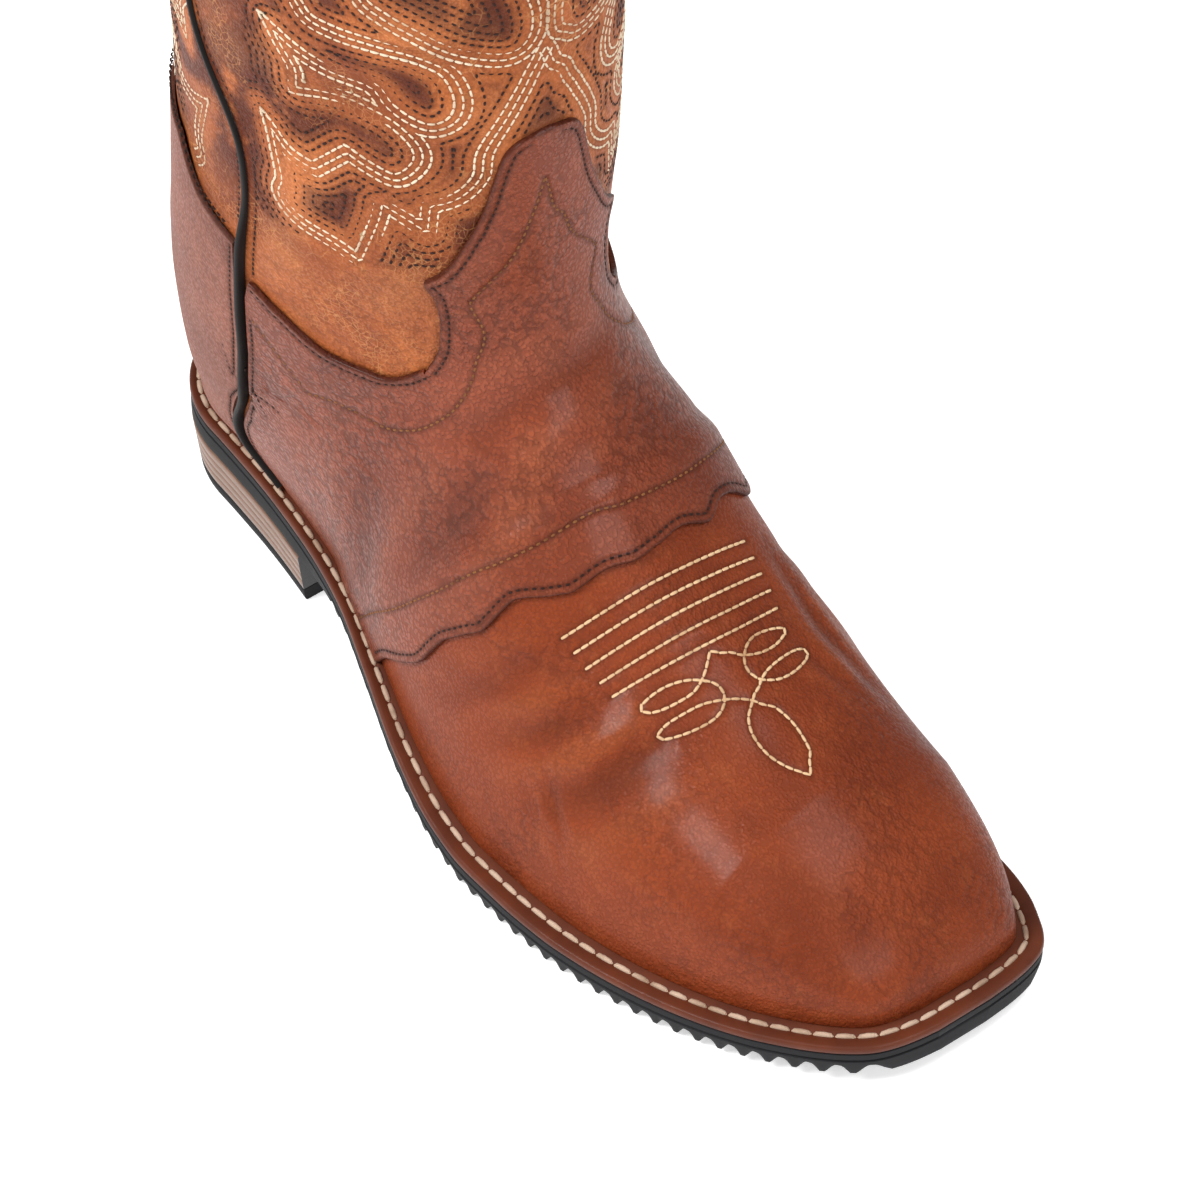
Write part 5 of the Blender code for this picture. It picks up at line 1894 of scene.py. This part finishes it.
def make_heel(look, rubber):
    """The stacked heel with a fine line between its layers, and the rounded top lift."""
    low, high = CAP + GAP, HEEL_LIFT - GAP
    loops = []
    for layer in range(HEEL_LAYERS):
        start = low + (high - low) * layer / HEEL_LAYERS
        end = low + (high - low) * (layer + 1) / HEEL_LAYERS
        side = ((start, LAYER_CUT), (start + LAYER_CUT, 0.0), (end - LAYER_CUT, 0.0), (end, LAYER_CUT))
        loops += [heel_loop(taper(up) + cut, up) for up, cut in side]
    made = stack("heel_stack", loops, look)
    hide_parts("heel_block")
    loops = [heel_loop(taper(up) + cut, up) for up, cut in LIFT_SIDE]
    made = stack("top_lift", loops, rubber)
    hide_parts("heel_lift")


def on_leather(lines, face, sink=GROOVE):
    """Stitch rows as points and normals on the face of the leather they are sewn through."""
    laid_lines = []
    for k, v in lines:
        base, normal = place(k, v % 1.0), normal_at(k, v % 1.0)
        height = face(k, v % 1.0) + relief(base) - sink
        laid_lines.append((base + normal * height[:, None], normal))
    return laid_lines


def shaft_lines(lines):
    """The same on the shaft, whose face also slouches."""
    return on_leather(lines, lambda k, v: slouch(place(k, v)), GROOVE)


def shaft_pattern():
    """Cream bands and dark echo rows of the front and the back panel, as sections and places."""
    bands, echo = [], []
    for panel in PANELS:
        middle, drop = panel["middle"], panel["drop"]
        rows = echo_rows(drop, panel["half_width"], panel["low"])
        bands += [on_shaft(*path, middle, drop) for path in panel_paths(-1) + panel_paths(1)]
        echo += [on_shaft(*path, middle, drop) for path in rows]
    return clear_of_overlays(bands), clear_of_overlays(echo)


FLOOR_HALF = 6.0


def stage(look):
    mesh = bpy.data.meshes.new("studio_floor")
    corners = [(x * FLOOR_HALF, y * FLOOR_HALF, 0) for x, y in ((-1, -1), (1, -1), (1, 1), (-1, 1))]
    mesh.from_pydata(corners, [], [(0, 1, 2, 3)])
    mesh.materials.append(look)
    floor = linked("studio_floor", mesh)


def lamp(name, where, size, power):
    light = bpy.data.lights.new(name, "AREA")
    light.shape = "RECTANGLE"
    light.size, light.size_y = size
    light.energy = power
    made = linked(name, light)
    back = np.subtract(where, LAMP_TARGET)
    z = back / np.linalg.norm(back)
    x = np.cross((0, 0, 1), z)
    x /= np.linalg.norm(x)
    turn = np.stack([x, np.cross(z, x), z], 1)
    frame = np.eye(4)
    frame[:3, :3], frame[:3, 3] = turn, where
    made.matrix_world = Matrix(frame.tolist())


# Lamps: name, place, size and power
LAMPS = (
    ("left_window", (-1.25, 0.25, 1.55), (0.9, 0.6), 34),
    ("front_window", (-0.15, -1.7, 1.05), (1.0, 0.5), 9),
    ("top_window", (0.25, -0.75, 1.85), (0.9, 0.6), 13),
)
LAMP_TARGET = (0, -0.06, 0.12)
SKY_STRENGTH = 0.34


def light_studio():
    world = bpy.context.scene.world or bpy.data.worlds.new("studio")
    bpy.context.scene.world = world
    world.use_nodes = True
    back = next(node for node in world.node_tree.nodes if node.type == "BACKGROUND")
    back.inputs["Color"].default_value = (1, 1, 1, 1)
    back.inputs["Strength"].default_value = SKY_STRENGTH
    for row in LAMPS:
        lamp(*row)


def place_camera():
    data = bpy.data.cameras.new("photo_view")
    data.lens = CAMERA_LENS
    data.sensor_fit = "HORIZONTAL"
    data.sensor_width = 36
    data.clip_end = 50
    camera = linked("photo_view", data)
    sa, ca = math.sin(CAMERA_AZIMUTH), math.cos(CAMERA_AZIMUTH)
    se, ce = math.sin(CAMERA_ELEVATION), math.cos(CAMERA_ELEVATION)
    back = np.array((sa * ce, -ca * ce, se))
    right = np.array((ca, sa, 0.0))
    up = np.cross(back, right)
    s, c = math.sin(CAMERA_ROLL), math.cos(CAMERA_ROLL)
    frame = np.eye(4)
    frame[:3, :3] = np.stack([c * right + s * up, -s * right + c * up, back], 1)
    frame[:3, 3] = CAMERA_PLACE
    camera.matrix_world = Matrix(frame.tolist())
    bpy.context.scene.camera = camera


def dress():
    looks = materials()
    saddle = {part: on_leather(lines, saddle_face) for part, lines in saddle_rows().items()}
    counter = on_leather(counter_rows(), vamp_face)
    across, loop = toe_rows()
    toe = on_leather(across + loop, vamp_face)
    piping_rows = shaft_lines(shaft_seam_rows())
    bands, echo = shaft_pattern()
    cream = [row for line in shaft_lines(bands) for row in band_rows(line)]
    echo = shaft_lines(echo)
    make_vamp(looks["vamp"], grooves(toe))
    make_saddle(looks["saddle"], grooves([line for lines in saddle.values() for line in lines]))
    make_counter(looks["counter"], grooves(counter))
    make_shaft(looks["shaft"], grooves(cream + echo + piping_rows), grooves(cream))
    make_lining(looks["lining"])
    make_piping("side_seam_lateral", False, looks["piping"])
    make_piping("side_seam_medial", True, looks["piping"])
    make_welt(looks["welt"])
    make_sole(looks["sole"])
    make_heel(looks["heel"], looks["sole"])
    welt_stitches(looks["beige"])
    rows_of_stitches("toe_thread", toe, looks["peach"], **TOE_STITCH)
    rows_of_stitches("shaft_cream_thread", cream, looks["cream"], **CREAM_STITCH)
    rows_of_stitches("shaft_brown_thread", echo + piping_rows, looks["brown"], **DARK_STITCH)
    rows_of_stitches("counter_thread", counter, looks["brown"], **FINE_STITCH)
    rows_of_stitches("saddle_brown_thread", saddle["edge"] + saddle["seam"], looks["brown"], **FINE_STITCH)
    rows_of_stitches("saddle_orange_thread", saddle["echo"] + saddle["inner"], looks["orange"], **FINE_STITCH)
    for slot in bpy.data.objects["insole"].material_slots:
        slot.material = looks["lining"]


# Sizes of the threads' stitches
STITCH_COLUMNS = ("pitch", "length", "width", "thick", "sink", "sides")
TOE_STITCH = dict(zip(STITCH_COLUMNS, (0.0024, 0.0026, 0.00095, 0.0009, 0.0003, 6)))
CREAM_STITCH = dict(zip(STITCH_COLUMNS, (0.0025, 0.0024, 0.00078, 0.0008, 0.0003, 5)))
DARK_STITCH = dict(zip(STITCH_COLUMNS, (0.0023, 0.0017, 0.00095, 0.0007, 0.0003, 5)))
FINE_STITCH = dict(zip(STITCH_COLUMNS, (0.0022, 0.0014, 0.00075, 0.0006, 0.0003, 5)))
WELT_STITCH = dict(zip(STITCH_COLUMNS, (0.0057, 0.0056, 0.0016, 0.0014, 0.0007, 8)))


def clear_of_overlays(lines):
    """Only the stretches of shaft rows that no overlay or piping covers."""
    kept = []
    for k, v in lines:
        inside = np.ones(len(k), bool)
        around_heel = v % 1.0
        side = np.minimum(around_heel, 1 - around_heel)
        away = np.abs(around_heel - TONGUE_MIDDLE)
        tongue = np.interp(k, TONGUE_SHAPE["section"], TONGUE_SHAPE["half"]) + 0.008
        inside &= (k > 14.36) | (away > tongue)
        shoulder = smooth(SHOULDER_LINE["away"], SHOULDER_LINE["section"], np.clip(away, 0.079, 0.232))
        inside &= (side < seam_place(np.clip(k, 7, 15.9))) | (k > shoulder + 0.18)
        inside &= (side > seam_place(np.clip(k, 7, 15.9))) | (k > counter_high(side) + 0.10)
        inside &= np.abs(side - seam_place(np.clip(k, 7, 15.9))) > 0.0095
        inside &= k < LAST_SECTION - 0.07
        start = None
        for i, good in enumerate(np.append(inside, False)):
            if good and start is None:
                start = i
            elif not good and start is not None:
                if i - start > 4:
                    kept.append((k[start:i], v[start:i]))
                start = None
    return kept


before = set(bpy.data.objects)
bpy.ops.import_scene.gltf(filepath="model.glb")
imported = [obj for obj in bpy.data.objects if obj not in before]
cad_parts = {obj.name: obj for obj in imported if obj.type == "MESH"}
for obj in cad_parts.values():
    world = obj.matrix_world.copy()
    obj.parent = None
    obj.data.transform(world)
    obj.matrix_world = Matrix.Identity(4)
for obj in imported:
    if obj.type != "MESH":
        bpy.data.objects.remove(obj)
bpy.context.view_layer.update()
dress()
stage(even("studio_white", (0.90, 0.90, 0.90), 1.0, 0.60))
light_studio()
place_camera()
bpy.context.scene.view_settings.view_transform = "Standard"
